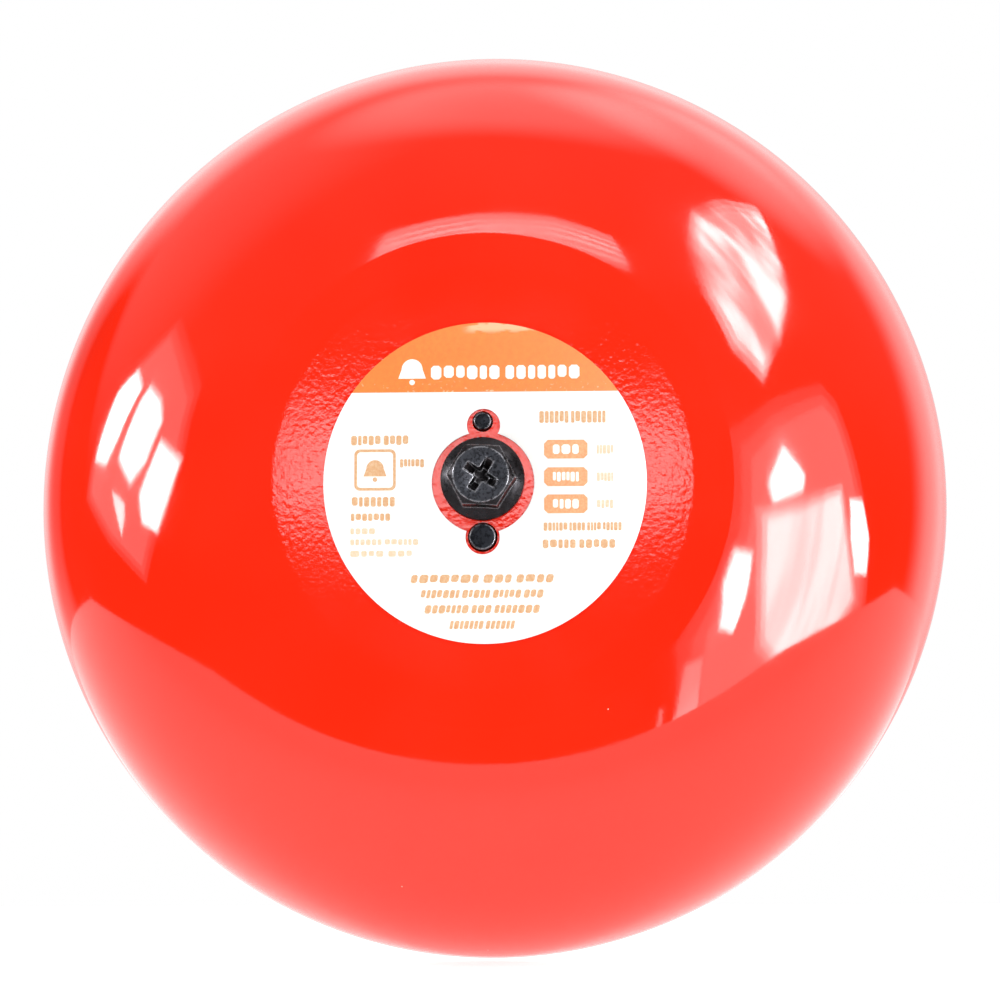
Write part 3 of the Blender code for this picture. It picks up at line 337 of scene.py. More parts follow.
def tube(points, radius, sides=6):
    """A round wire along the points, as a mesh."""
    curve = bpy.data.curves.new("tube", "CURVE")
    curve.dimensions = "3D"
    curve.bevel_depth = radius
    curve.bevel_resolution = sides
    curve.use_fill_caps = True
    spline = curve.splines.new("POLY")
    spline.points.add(len(points) - 1)
    for point, place in zip(spline.points, points):
        point.co = (*place, 1)
    return mesh_of_curve(curve)


def box(middle, size, edge=0.0, steps=2):
    """A box with rounded edges; middle and size are (x, y, z)."""
    bm = bmesh.new()
    bmesh.ops.create_cube(bm, size=1)
    bm.transform(Matrix.Translation(middle) @ Matrix.Diagonal((*size, 1)))
    if edge:
        bmesh.ops.bevel(bm, geom=bm.edges[:], offset=edge, segments=steps, profile=0.5, affect="EDGES")
    return bm


def add_to(bm, *others):
    """Adds other meshes to the first one, as separate bodies in one mesh."""
    for other in others:
        mesh = bpy.data.meshes.new("part")
        other.to_mesh(mesh)
        other.free()
        bm.from_mesh(mesh)
        bpy.data.meshes.remove(mesh)
    return bm


def scratch_object(bm):
    mesh = bpy.data.meshes.new("scratch")
    bm.to_mesh(mesh)
    bm.free()
    obj = bpy.data.objects.new("scratch", mesh)
    bpy.context.scene.collection.objects.link(obj)
    return obj


def boolean(bm, operation, others):
    """The mesh cut by, joined with or kept inside the others."""
    base = scratch_object(bm)
    tools = []
    for other in others:
        tool = scratch_object(other)
        modifier = base.modifiers.new("shape", "BOOLEAN")
        modifier.operation = operation
        modifier.object = tool
        tools.append(tool)
    result = bmesh.new()
    result.from_object(base, bpy.context.evaluated_depsgraph_get())
    for obj in [base, *tools]:
        mesh = obj.data
        bpy.data.objects.remove(obj)
        bpy.data.meshes.remove(mesh)
    return result


def cut(bm, *others):
    return boolean(bm, "DIFFERENCE", others)


def soften(bm, width, steps=2, least=30):
    """Rounds the edges that turn by more than the least angle."""
    bmesh.ops.remove_doubles(bm, verts=bm.verts, dist=mm(0.004))
    bmesh.ops.dissolve_limit(bm, angle_limit=math.radians(1), verts=bm.verts, edges=bm.edges)
    limit = math.radians(least)
    sharp = [e for e in bm.edges if len(e.link_faces) == 2 and e.calc_face_angle(0) > limit]
    bmesh.ops.bevel(
        bm, geom=sharp, offset=width, segments=steps, profile=0.5, affect="EDGES", clamp_overlap=True
    )
    return bm


def refine(node, name, material, width=mm(0.2), body="root", steps=2):
    """A copy of a CAD node with rounded edges, which stands for it."""
    bm = bmesh.new()
    bm.from_mesh(frame["nodes"][node].data)
    soften(bm, width, steps)
    finish_mesh(name, bm, material, body, node)


# ---------------------------------------------------------------- material tools


class Nodes:
    """Short ways to add shader nodes to a tree and join them up."""

    def __init__(self, tree):
        self.tree = tree

    def add(self, kind, settings=None, **inputs):
        node = self.tree.nodes.new("ShaderNode" + kind)
        for key, value in (settings or {}).items():
            setattr(node, key, value)
        for key, value in inputs.items():
            self.plug(node.inputs[key], value)
        return node

    def plug(self, socket, value):
        if isinstance(value, bpy.types.NodeSocket):
            self.tree.links.new(value, socket)
        else:
            socket.default_value = value

    def maths(self, operation, a, b=0.0):
        node = self.add("Math", {"operation": operation})
        self.plug(node.inputs[0], a)
        self.plug(node.inputs[1], b)
        return node.outputs[0]

    def times(self, a, b):
        return self.maths("MULTIPLY", a, b)

    def dot(self, a, b):
        node = self.add("VectorMath", {"operation": "DOT_PRODUCT"})
        self.plug(node.inputs[0], a)
        self.plug(node.inputs[1], b)
        return node.outputs["Value"]

    def span(self, value, low, high, to_low=0.0, to_high=1.0):
        """The value's place between low and high, smoothly, as a number between to_low and to_high."""
        node = self.add("MapRange", {"interpolation_type": "SMOOTHSTEP"})
        for socket, item in zip(node.inputs, (value, low, high, to_low, to_high)):
            self.plug(socket, item)
        return node.outputs["Result"]

    def blend(self, share, a, b):
        """A number between a and b."""
        node = self.add("Mix", {"data_type": "FLOAT"})
        for index, value in ((0, share), (2, a), (3, b)):
            self.plug(node.inputs[index], value)
        return node.outputs[0]

    def mix(self, share, a, b):
        """A colour between a and b."""
        node = self.add("Mix", {"data_type": "RGBA"})
        for index, value in ((0, share), (6, a), (7, b)):
            if isinstance(value, tuple):
                value = (*value, 1)
            self.plug(node.inputs[index], value)
        return node.outputs[2]


class Look(Nodes):
    """A material with a Principled shader, whose textures are in the object's own metres."""

    def __init__(self, name, colour, roughness, metallic=0.0, **inputs):
        self.material = bpy.data.materials.new(name)
        self.material.use_nodes = True
        self.material.diffuse_color = (*colour, 1)
        super().__init__(self.material.node_tree)
        self.shader = self.tree.nodes["Principled BSDF"]
        self.coords = self.add("TexCoord").outputs["Object"]
        self.set(**{"Base Color": (*colour, 1), "Roughness": roughness, "Metallic": metallic, **inputs})

    def set(self, **inputs):
        for key, value in inputs.items():
            self.plug(self.shader.inputs[key], value)

    def paint(self, colour):
        self.plug(self.shader.inputs["Base Color"], colour)

    def noise(self, size, detail=3.0, roughness=0.5, stretch=(1, 1, 1)):
        """Smooth noise, 0 to 1, with features of about this size in metres."""
        scaled = self.add("Mapping", Vector=self.coords, Scale=stretch).outputs["Vector"]
        node = self.add("TexNoise", Vector=scaled, Scale=1 / size, Detail=detail, Roughness=roughness)
        return node.outputs["Fac"]

    def cells(self, size):
        """Cells of about this size: the distance from its cell's middle and the cell's random number."""
        node = self.add("TexVoronoi", Vector=self.coords, Scale=1 / size)
        chance = self.add("SeparateColor", Color=node.outputs["Color"]).outputs[0]
        return node.outputs["Distance"], chance

    def axis(self, name):
        """One of the point's coordinates, X, Y or Z."""
        return self.add("SeparateXYZ", Vector=self.coords).outputs[name]

    def bump(self, height, distance):
        """Adds a bump of that height, in metres, for the input's range from 0 to 1."""
        node = self.add("Bump", Height=height, Distance=distance)
        normal = self.shader.inputs["Normal"]
        if normal.is_linked:
            self.plug(node.inputs["Normal"], normal.links[0].from_socket)
        self.plug(normal, node.outputs["Normal"])

    def edges(self, radius, low=0.02, high=0.2):
        """1 at edges sharper than the radius, 0 elsewhere."""
        soft = self.add("Bevel", {"samples": 6}, Radius=radius).outputs["Normal"]
        same = self.dot(soft, self.add("NewGeometry").outputs["Normal"])
        return self.span(self.maths("SUBTRACT", 1.0, same), low, high)


# ---------------------------------------------------------------- materials

RED = (0.83, 0.0175, 0.0028)
ORANGE = (0.84, 0.22, 0.03)


def red_enamel():
    """Baked gloss enamel: orange peel on the flat seat, a few specks of dust, faint colour drift."""
    look = Look("red_enamel", RED, 0.07)
    drift = look.span(look.noise(mm(45), 2), 0.35, 0.65)
    paint = look.mix(drift, (0.8, 0.0165, 0.0026), (0.86, 0.0185, 0.003))
    look.set(Roughness=look.span(look.noise(mm(20), 4), 0.3, 0.7, 0.035, 0.07))
    squares = [look.times(look.axis(name), look.axis(name)) for name in ("X", "Z")]
    radius = look.maths("SQRT", look.maths("ADD", *squares))
    peel = look.span(radius, SEAT_RADIUS, CREST_RADIUS, 1.0, 0.15)
    look.bump(look.times(look.noise(mm(0.9), 1, 0.4), peel), mm(0.011))
    look.bump(look.noise(mm(40), 1), mm(0.06))
    distance, chance = look.cells(mm(9))
    speck = look.times(look.maths("GREATER_THAN", chance, 0.9), look.span(distance, 0.012, 0.028, 1, 0))
    look.bump(speck, mm(0.04))
    look.paint(look.mix(look.times(speck, 0.6), paint, (0.95, 0.5, 0.38)))
    return look.material


def red_inside():
    """The thinner, duller coat inside the gong, with overspray grain."""
    look = Look("red_inside", (0.5, 0.012, 0.004), 0.35)
    patch = look.span(look.noise(mm(12), 5, 0.6), 0.3, 0.75)
    look.paint(look.mix(patch, (0.47, 0.012, 0.005), (0.56, 0.014, 0.004)))
    look.set(Roughness=look.span(patch, 0, 1, 0.28, 0.5))
    look.bump(look.noise(mm(0.8), 2), mm(0.02))
    return look.material


def label_vinyl():
    """White vinyl with a slight yellowing towards its edge."""
    look = Look("label_vinyl", (0.84, 0.83, 0.81), 0.3, IOR=1.45)
    tint = look.span(look.noise(mm(12), 4), 0.35, 0.75)
    look.paint(look.mix(tint, (0.85, 0.845, 0.83), (0.82, 0.81, 0.785)))
    look.set(Roughness=look.span(look.noise(mm(6), 3), 0.3, 0.7, 0.26, 0.4))
    look.bump(look.noise(mm(3), 2), mm(0.006))
    return look.material


def band_ink():
    """The band's orange ink: mottled, rubbed thin at the middle of its top and speckled along its foot."""
    look = Look("band_ink", ORANGE, 0.32, IOR=1.45)
    mottle = look.span(look.noise(mm(1.1), 3, 0.6), 0.25, 0.8)
    ink = look.mix(mottle, (0.86, 0.205, 0.014), (0.8, 0.17, 0.01))
    height = look.axis("Z")
    top = LABEL_CENTRE[1] + LABEL_RADIUS
    thin = look.span(look.noise(mm(4), 3, 0.5, (0.6, 1, 2)), 0.44, 0.54)
    rubbed = look.times(thin, look.span(height, top - mm(2.8), top - mm(1.2)))
    for edge, inner in SCUFF_SIDES:
        rubbed = look.times(rubbed, look.span(look.axis("X"), edge, inner))
    specks = look.span(look.noise(mm(0.7), 2), 0.63, 0.7)
    foot = look.times(specks, look.span(height, BAND_FOOT + mm(3.2), BAND_FOOT + mm(0.6)))
    worn = look.maths("MAXIMUM", look.times(rubbed, 0.55), look.times(foot, 0.5))
    look.paint(look.mix(worn, ink, (0.93, 0.66, 0.42)))
    look.bump(look.noise(mm(3), 2), mm(0.006))
    return look.material


def print_ink(name, colour, faded):
    """A thin print whose cover varies, as a screen-printed line does."""
    look = Look(name, colour, 0.4, IOR=1.45)
    thin = look.span(look.noise(mm(0.5), 3, 0.7), 0.35, 0.75)
    look.paint(look.mix(thin, colour, faded))
    return look.material


def black_oxide(name, face, dark, sheen_depth):
    """Oil-blackened steel, dark with random patches: its front face carries a painted bluish sheen, and its
    edges a lighter colour that is partly bare wear and partly a painted highlight.
    """
    look = Look(name, dark, 0.3, 0.85)
    patch = look.span(look.noise(mm(2.6), 2, 0.5), 0.3, 0.72)
    body = look.mix(patch, dark, tuple(0.2 * a + 0.8 * b for a, b in zip(face, dark)))
    # Painted sheen: flat faces turned to the front, near the front face's depth, take the lighter bluish
    # face colour in place of a reflection of the room
    facing = look.add("SeparateXYZ", Vector=look.add("NewGeometry").outputs["Normal"]).outputs["Y"]
    flat = look.span(look.maths("ABSOLUTE", facing), 0.93, 0.995)
    depth = look.times(look.axis("Y"), -1)
    front = look.times(flat, look.span(depth, sheen_depth - mm(0.8), sheen_depth - mm(0.3)))
    rubbed = look.mix(look.times(front, look.span(patch, 0, 1, 0.75, 1)), body, face)
    # Lighter edges: partly bare-metal wear, partly a painted edge highlight
    worn = look.times(look.edges(mm(0.5), 0.004, 0.04), look.span(look.noise(mm(1.4), 3), 0.3, 0.5))
    look.paint(look.mix(worn, rubbed, (0.24, 0.24, 0.26)))
    look.set(Roughness=look.span(look.noise(mm(0.7), 3), 0.25, 0.75, 0.2, 0.4))
    look.bump(look.noise(mm(0.5), 2, 0.5), mm(0.008))
    return look.material


def turned_metal(name, colour, roughness=0.25, ring=mm(0.12), tarnish=0.25):
    """Bare turned or stamped metal: fine marks, patchy tarnish and brighter edges."""
    look = Look(name, colour, roughness, 1.0)
    dull = tuple(c * (1 - tarnish) for c in colour)
    patch = look.span(look.noise(mm(2.5), 5, 0.6), 0.3, 0.75)
    bright = tuple(min(1, c * 1.25) for c in colour)
    look.paint(look.mix(look.edges(mm(0.15)), look.mix(patch, colour, dull), bright))
    look.set(Roughness=look.span(look.noise(mm(0.6), 4), 0.25, 0.75, roughness * 0.75, roughness * 1.5))
    look.bump(look.noise(ring, 3, 0.6, (1, 0.15, 1)), mm(0.008))
    return look.material


def zinc_sheet():
    """Zinc plating with a faint blue-yellow film, spangle, rolling marks and handling scuffs."""
    look = Look("zinc_sheet", (0.66, 0.67, 0.67), 0.32, 1.0)
    film = look.span(look.noise(mm(16), 4, 0.55), 0.3, 0.7)
    base = look.mix(film, (0.4, 0.43, 0.46), (0.5, 0.47, 0.4))
    spangle = look.cells(mm(3.2))[1]
    base = look.mix(look.span(spangle, 0, 1, 0, 0.3), base, (0.22, 0.235, 0.25))
    scuff = look.span(look.noise(mm(1.2), 4, 0.7, (1, 1, 0.12)), 0.62, 0.75)
    look.paint(look.mix(look.times(scuff, 0.5), base, (0.62, 0.62, 0.62)))
    look.set(Roughness=look.span(look.noise(mm(1.5), 5, 0.65, (1, 1, 0.2)), 0.3, 0.7, 0.24, 0.5))
    look.bump(look.noise(mm(0.4), 3, 0.6, (1, 1, 0.08)), mm(0.012))
    return look.material


def powder_coat():
    """Matt black powder coat on a die casting, with its fine crinkle and greyed edges."""
    look = Look("powder_coat", (0.018, 0.018, 0.019), 0.55)
    patch = look.span(look.noise(mm(8), 4), 0.3, 0.7)
    base = look.mix(patch, (0.014, 0.014, 0.015), (0.03, 0.03, 0.031))
    look.paint(look.mix(look.times(look.edges(mm(0.5)), 0.5), base, (0.12, 0.12, 0.12)))
    look.set(Roughness=look.span(look.noise(mm(1), 3), 0.3, 0.7, 0.45, 0.65))
    look.bump(look.noise(mm(0.5), 3, 0.6), mm(0.05))
    return look.material


def rubber():
    """Black rubber with pale dust in patches."""
    colour = (0.02, 0.02, 0.021)
    look = Look("rubber", colour, 0.75)
    dust = look.span(look.noise(mm(3), 5, 0.65), 0.45, 0.8)
    look.paint(look.mix(look.times(dust, 0.35), colour, (0.11, 0.105, 0.1)))
    look.set(Roughness=look.span(dust, 0, 1, 0.6, 0.9))
    look.bump(look.noise(mm(0.3), 3), mm(0.02))
    return look.material


def moulded(name, colour, roughness=0.4, grain=mm(0.35), **inputs):
    """Moulded plastic with a fine grain and slight flow shading."""
    look = Look(name, colour, roughness, **inputs)
    flow = look.span(look.noise(mm(5), 3), 0.3, 0.7)
    look.paint(look.mix(flow, colour, tuple(c * 0.8 for c in colour)))
    look.set(Roughness=look.span(look.noise(grain * 3, 3), 0.3, 0.7, roughness * 0.85, roughness * 1.25))
    look.bump(look.noise(grain, 2), mm(0.008))
    return look.material


def solder_mask(name, dark, light):
    """Glossy green mask over the board's glass weave, lighter where it covers copper."""
    look = Look(name, dark, 0.25, **{"Coat Weight": 0.5, "Coat Roughness": 0.1})
    weave = look.noise(mm(0.9), 2)
    look.paint(look.mix(look.span(weave, 0.3, 0.7, 0, 0.35), dark, light))
    look.bump(weave, mm(0.006))
    return look.material


def windings():
    """Enamelled copper wire, wound in close turns."""
    look = Look("windings", (0.62, 0.22, 0.09), 0.3, 0.9)
    turns = look.maths("SINE", look.times(look.axis("Y"), 2 * math.pi / WIRE_PITCH))
    patch = look.span(look.noise(mm(2), 3), 0.3, 0.7)
    look.paint(look.mix(patch, (0.66, 0.25, 0.1), (0.45, 0.13, 0.05)))
    look.bump(look.span(turns, -1, 1), mm(0.08))
    return look.material


def shrink_sleeve(place, radius):
    """A capacitor's printed sleeve: dark blue with one pale stripe for its negative side."""
    look = Look("shrink_sleeve", (0.015, 0.03, 0.14), 0.25)
    axes = look.add("SeparateXYZ", Vector=look.coords)
    side = look.maths("GREATER_THAN", axes.outputs["X"], place[0] + 0.72 * radius)
    dash = look.maths("SINE", look.times(axes.outputs["Y"], 2 * math.pi / mm(3)))
    stripe = look.times(side, look.span(dash, -0.1, 0.1, 0.55, 0.85))
    look.paint(look.mix(stripe, (0.015, 0.03, 0.14), (0.62, 0.66, 0.74)))
    look.bump(look.noise(mm(1.2), 2), mm(0.02))
    return look.material


def banded(place, length, colours):
    """A resistor's lacquer with its colour bands, spaced along X."""
    look = Look("resistor_lacquer", (0.62, 0.48, 0.3), 0.3)
    along = look.axis("X")
    base = look.mix(look.span(look.noise(mm(0.6), 3), 0.3, 0.7), (0.62, 0.46, 0.27), (0.68, 0.54, 0.36))
    for i, colour in enumerate(colours):
        middle = place[0] + length * (i / (len(colours) - 1) - 0.5) * 0.62
        near = look.maths("ABSOLUTE", look.maths("SUBTRACT", along, middle))
        base = look.mix(look.maths("LESS_THAN", near, mm(0.28)), base, colour)
    look.paint(base)
    look.bump(look.noise(mm(0.5), 2), mm(0.01))
    return look.material


def plain_floor():
    """Pale matt board, lit from below towards its back, with the faintest tooth."""
    look = Look("studio_board", (0.95, 0.95, 0.95), 0.8, **{"Specular IOR Level": 0.0})
    look.set(**{"Emission Color": (1, 1, 1, 1)})
    look.set(**{"Emission Strength": look.span(look.axis("Y"), -0.3, 0.0, 0.2, 0.75)})
    look.bump(look.noise(mm(1), 2), mm(0.01))
    return look.material


ENAMEL = red_enamel()
INSIDE = red_inside()
VINYL = label_vinyl()
BAND = band_ink()
PRINT = print_ink("orange_print", (0.58, 0.29, 0.11), (0.65, 0.43, 0.24))
PRINT_BOX = print_ink("orange_boxes", (0.72, 0.27, 0.09), (0.74, 0.38, 0.17))
PRINT_FINE = print_ink("pale_print", (0.65, 0.49, 0.3), (0.68, 0.6, 0.46))
PRINT_WHITE = print_ink("white_print", (0.86, 0.85, 0.82), (0.88, 0.74, 0.58))
# The first colour of each is the painted sheen on its front face; the second is the dark body
OXIDE = black_oxide("black_oxide", (0.036, 0.038, 0.046), (0.006, 0.0045, 0.0052), BOLT_TOP)
PIN_FINISH = black_oxide("pin_finish", (0.012, 0.0135, 0.018), (0.009, 0.0095, 0.012), FACE)
ZINC = zinc_sheet()
STEEL = turned_metal("steel", (0.56, 0.56, 0.57))
SCREW_STEEL = turned_metal("screw_steel", (0.62, 0.62, 0.6), 0.28, tarnish=0.35)
SPRING_STEEL = turned_metal("spring_steel", (0.45, 0.45, 0.46), 0.2)
BRASS = turned_metal("brass", (0.72, 0.5, 0.2), 0.22, tarnish=0.3)
HAMMER_STEEL = turned_metal("hammer_steel", (0.5, 0.5, 0.51), 0.3, tarnish=0.35)
BRONZE = turned_metal("bronze", (0.45, 0.27, 0.13), 0.45, tarnish=0.3)
SOLDER = turned_metal("solder", (0.6, 0.6, 0.6), 0.25, mm(0.5))
COMMUTATOR = turned_metal("commutator_copper", (0.66, 0.3, 0.15), 0.25)
COAT = powder_coat()
RUBBER = rubber()
NYLON = moulded("nylon", (0.78, 0.75, 0.66), 0.42, **{"Subsurface Weight": 0.15, "Subsurface Scale": mm(1)})
BLACK_PLASTIC = moulded("black_plastic", (0.022, 0.022, 0.023), 0.38)
TERMINAL_GREEN = moulded("terminal_green", (0.02, 0.26, 0.07), 0.4)
FERRITE = moulded("ferrite", (0.05, 0.05, 0.055), 0.6, mm(0.2))
CARBON = moulded("carbon", (0.03, 0.03, 0.03), 0.5, mm(0.15))
MASK = solder_mask("solder_mask", (0.008, 0.12, 0.04), (0.02, 0.17, 0.06))
WINDINGS = windings()
RED_WIRE = moulded("red_insulation", (0.55, 0.015, 0.012), 0.35)
BLACK_WIRE = moulded("black_insulation", (0.018, 0.018, 0.018), 0.35)
VARISTOR = moulded("varistor_epoxy", (0.7, 0.2, 0.02), 0.22, mm(0.8))
SILK = print_ink("silk_print", (0.75, 0.76, 0.74), (0.6, 0.62, 0.6))
TRACK = solder_mask("masked_copper", (0.05, 0.24, 0.07), (0.08, 0.28, 0.08))


# ---------------------------------------------------------------- gong and label


def shoulder_depth(radius, inset=0.0):
    """The shoulder's depth at a radius: an ellipse, with a slight extra fall close to the crest."""
    wide = GONG_RADIUS - inset - CREST_RADIUS
    share = min(1, max(0, (radius - CREST_RADIUS) / wide))
    drop = SHOULDER_DROP * (1 - math.exp(-(radius - CREST_RADIUS) / SHOULDER_DROP_REACH)) * (1 - share)
    return GONG_RIM + (CREST - inset - GONG_RIM) * math.sqrt(1 - share**2) - drop


def gong_side(inset):
    """(radius, depth) points down one side of the gong's wall, from inside the seat's edge to the rim."""
    wide = GONG_RADIUS - inset - CREST_RADIUS
    below = CREST_RADIUS + CREST_LEAD
    corners = [
        (mm(30), FACE - inset),
        (SEAT_RADIUS, FACE - inset, mm(1.2)),
        (CREST_RADIUS, CREST - inset, CREST_BEND),
        (below, shoulder_depth(below, inset)),
    ]
    side = rounded(corners, 6)
    first = math.asin(CREST_LEAD / wide)
    last = math.acos(GONG_RIM_EDGE / (CREST - inset - GONG_RIM))
    for i in range(1, SHOULDER_STEPS + 1):
        radius = CREST_RADIUS + wide * math.sin(first + (last - first) * i / SHOULDER_STEPS)
        side.append((radius, shoulder_depth(radius, inset)))
    return side


def make_gong():
    outer, inner = gong_side(0), gong_side(GONG_WALL)
    middle = GONG_RADIUS - GONG_RIM_EDGE
    rim = arc((middle, GONG_RIM + GONG_RIM_EDGE), GONG_RIM_EDGE, 0, -math.pi, 12)[1:-1]
    # Two rings close to the hole's chamfer keep the seat's shading flat
    lip = [
        (BOLT_HOLE, FACE - mm(0.3)),
        (BOLT_HOLE + mm(0.3), FACE),
        (BOLT_HOLE + mm(0.5), FACE),
        (mm(20), FACE),
    ]
    back = FACE - GONG_WALL
    outline = [*lip, *outer, *rim, *reversed(inner), (mm(20), back), (BOLT_HOLE, back)]
    bm = lathe(outline, segments=288, closed=True)
    bm = cut(bm, *[bore(radius, mm(50), mm(62), place, 48) for place, radius in PIN_HOLES])
    bm.faces.ensure_lookup_table()
    for face in bm.faces:
        spot = face.calc_center_median()
        outward = Vector((spot.x, 0, spot.z)).normalized()
        turned_in = face.normal.y > 0.05 or face.normal.dot(outward) < -0.3
        face.material_index = int(turned_in and -spot.y > GONG_RIM + GONG_RIM_EDGE)
    finish_mesh("gong_shell", bm, [ENAMEL, INSIDE], replaces="gong", sharp=50)


def opening_outline():
    """The label's opening: a round hole for the bolt that runs into a smaller one at each pin."""
    (x, z, radius), *lobes = LABEL_CUTS
    points = []
    headings = [math.atan2(b - z, a - x) for a, b, _ in lobes]
    for i, (a, b, small) in enumerate(lobes):
        apart = math.hypot(a - x, b - z)
        own = math.acos((small**2 + apart**2 - radius**2) / (2 * small * apart))
        far = math.acos((radius**2 + apart**2 - small**2) / (2 * radius * apart))
        heading = headings[i] + 2 * math.pi * i
        points += arc((a, b), small, heading - math.pi + own, heading + math.pi - own, 28)
        next_a, next_b, next_small = lobes[1 - i]
        next_apart = math.hypot(next_a - x, next_b - z)
        next_far = math.acos((radius**2 + next_apart**2 - next_small**2) / (2 * radius * next_apart))
        end = headings[1 - i] + 2 * math.pi
        points += arc((x, z), radius, heading + far, end - next_far, 40)[1:-1]
    return points


def make_label():
    loops = [circle(LABEL_CENTRE, LABEL_RADIUS, 180), opening_outline()]
    bm = slab(loops, LABEL_TOP - mm(0.3), LABEL_TOP, mm(0.05), 2)
    cut_line = {"plane_co": (0, 0, BAND_FOOT), "plane_no": (0, 0, 1)}
    bmesh.ops.bisect_plane(bm, geom=bm.verts[:] + bm.edges[:] + bm.faces[:], **cut_line)
    for face in bm.faces:
        face.material_index = int(face.calc_center_median().z > BAND_FOOT)
    finish_mesh("label_vinyl", bm, [VINYL, BAND], replaces="gong_label")


class Print:
    """Collects thin raised marks on the label: each is a closed outline with its ink."""

    INKS = [PRINT, PRINT_BOX, PRINT_FINE, PRINT_WHITE]

    def __init__(self):
        self.bm = bmesh.new()
        self.chance = random.Random(11)

    def mark(self, loops, ink, proud=mm(0.03)):
        piece = slab(loops, LABEL_TOP - mm(0.02), LABEL_TOP + proud)
        for face in piece.faces:
            face.material_index = self.INKS.index(ink)
        add_to(self.bm, piece)

    def bar(self, left, foot, width, height, ink, lean=0.0, **rest):
        self.mark([bar_outline(left, foot, width, height, lean)], ink, **rest)

    def line(self, left, right, foot, top, ink, words, lean=0.0, **rest):
        """A line of print as rows of small blocks, in this many words, which fills left to right."""
        height = top - foot
        letters = [self.chance.randint(3, 7) for _ in range(words)]
        widths = [[self.chance.uniform(0.55, 1.0) * height for _ in range(n)] for n in letters]
        gap, space = 0.22 * height, 0.55 * height
        full = sum(map(sum, widths)) + gap * sum(n - 1 for n in letters) + space * (words - 1)
        scale = (right - left) / full
        x = left
        for word in widths:
            for width in word:
                low = self.chance.choice((0, 0, 0, 0.12)) * height
                self.bar(x, foot + low, width * scale, height - low, ink, lean, **rest)
                x += (width + gap) * scale
            x += (space - gap) * scale


def bar_outline(left, foot, width, height, lean=0.0):
    """A small block with rounded corners, leaning over by that share of its height."""
    nip = min(0.25 * width, 0.2 * height)
    corners = [(0, nip), (nip, 0), (width - nip, 0), (width, nip)]
    corners += [(width, height - nip), (width - nip, height), (nip, height), (0, height - nip)]
    return [(left + x + lean * z, foot + z) for x, z in corners]


def frame_outline(middle, half, corner):
    """A square with rounded corners."""
    points = []
    for i, (sx, sz) in enumerate(((1, 1), (-1, 1), (-1, -1), (1, -1))):
        place = (middle[0] + sx * (half - corner), middle[1] + sz * (half - corner))
        points += arc(place, corner, i * math.pi / 2, (i + 1) * math.pi / 2, 6)
    return points


def bell_sign(middle, size):
    """A plain bell: a dome with a brim and a clapper."""
    x, z = middle
    dome = arc((x, z + 0.05 * size), 0.38 * size, math.pi, 0, 20)
    dome += [(x + 0.5 * size, z - 0.28 * size), (x - 0.5 * size, z - 0.28 * size)]
    return [dome, circle((x, z - 0.42 * size), 0.1 * size, 16)]


def make_print():
    """Stand-in print: a plain bell sign and rows of blocks where a label has its lines."""
    work = Print()
    for loop in bell_sign((mm(-15.3), mm(23.3)), mm(6)):
        work.mark([loop], PRINT_WHITE)
    work.line(mm(-11.2), mm(21), mm(21.4), mm(24.4), PRINT_WHITE, 2)
    work.line(mm(12.3), mm(26.6), mm(11.7), mm(14.3), PRINT, 2)
    for foot, top in ((mm(3.9), mm(8)), (mm(-2.1), mm(2)), (mm(-8), mm(-3.9))):
        work.mark([bar_outline(mm(13.3), foot, mm(9.4), top - foot)], PRINT_BOX)
        work.line(mm(15.2), mm(20.8), foot + mm(1), top - mm(1), PRINT_WHITE, 1, proud=mm(0.05))
        work.line(mm(24.7), mm(28.2), foot + mm(1), top - mm(1.2), PRINT_FINE, 1)
    work.line(mm(13.2), mm(30), mm(-11.8), mm(-10), PRINT, 4)
    work.line(mm(13), mm(28.6), mm(-15.6), mm(-13.7), PRINT, 2)
    work.line(mm(-28.5), mm(-16.1), mm(7.1), mm(9.2), PRINT, 2)
    box_place = (mm(-23.3), mm(1.7))
    loops = [frame_outline(box_place, mm(4.5), mm(1.2)), frame_outline(box_place, mm(3.9), mm(0.8))]
    work.mark(loops, PRINT)
    for loop in bell_sign(box_place, mm(5)):
        work.mark([loop], PRINT)
    work.line(mm(-17.9), mm(-12.7), mm(2.2), mm(4), PRINT, 1)
    work.line(mm(-28.3), mm(-19), mm(-6.3), mm(-4.2), PRINT, 1)
    work.line(mm(-28.5), mm(-20), mm(-9.4), mm(-7.8), PRINT, 1)
    for foot, right, words in ((-12.3, -23.3, 1), (-14.7, -13.9, 2), (-17.2, -15.3, 2)):
        work.line(mm(-28.6), mm(right), mm(foot), mm(foot) + mm(1.3), PRINT_FINE, words)
    for foot, half, words in ((-23, 15.6, 3), (-26.3, 13.4, 4), (-29.6, 12.6, 3), (-33, 7.2, 2)):
        work.line(-mm(half), mm(half) - mm(0.5), mm(foot), mm(foot) + mm(1.8), PRINT, words, lean=0.2)
    bmesh.ops.translate(work.bm, verts=work.bm.verts, vec=(0, 0, PRINT_RISE))
    finish_mesh("label_print", work.bm, Print.INKS)


# ---------------------------------------------------------------- bolt and pins


def wedge_bar(reach, low_reach, width, low_width, back, front, turn, place=(0, 0)):
    """A bar whose sides lean in towards its back, as one arm pair of a cross recess."""
    bm = bmesh.new()
    bmesh.ops.create_cube(bm, size=2)
    for vertex in bm.verts:
        high = vertex.co.z > 0
        x = vertex.co.x * (reach if high else low_reach)
        z = vertex.co.y * (width if high else low_width) / 2
        depth = front if high else back
        vertex.co = (x, -depth, z)
    spin(bm, turn, place)
    bmesh.ops.recalc_face_normals(bm, faces=bm.faces)
    return bm


def cross_recess(reach, width, back, front, turn):
    """The cutters of a cross recess: two crossed wedges and the cone between them."""
    bars = [
        wedge_bar(reach, 0.45 * reach, width, 0.7 * width, back, front, turn + quarter)
        for quarter in (0, math.pi / 2)
    ]
    cone = [(0, back - 0.1 * (front - back)), (0.3 * reach, back), (0.42 * reach, front), (0, front)]
    return [*bars, lathe(cone, segments=24)]


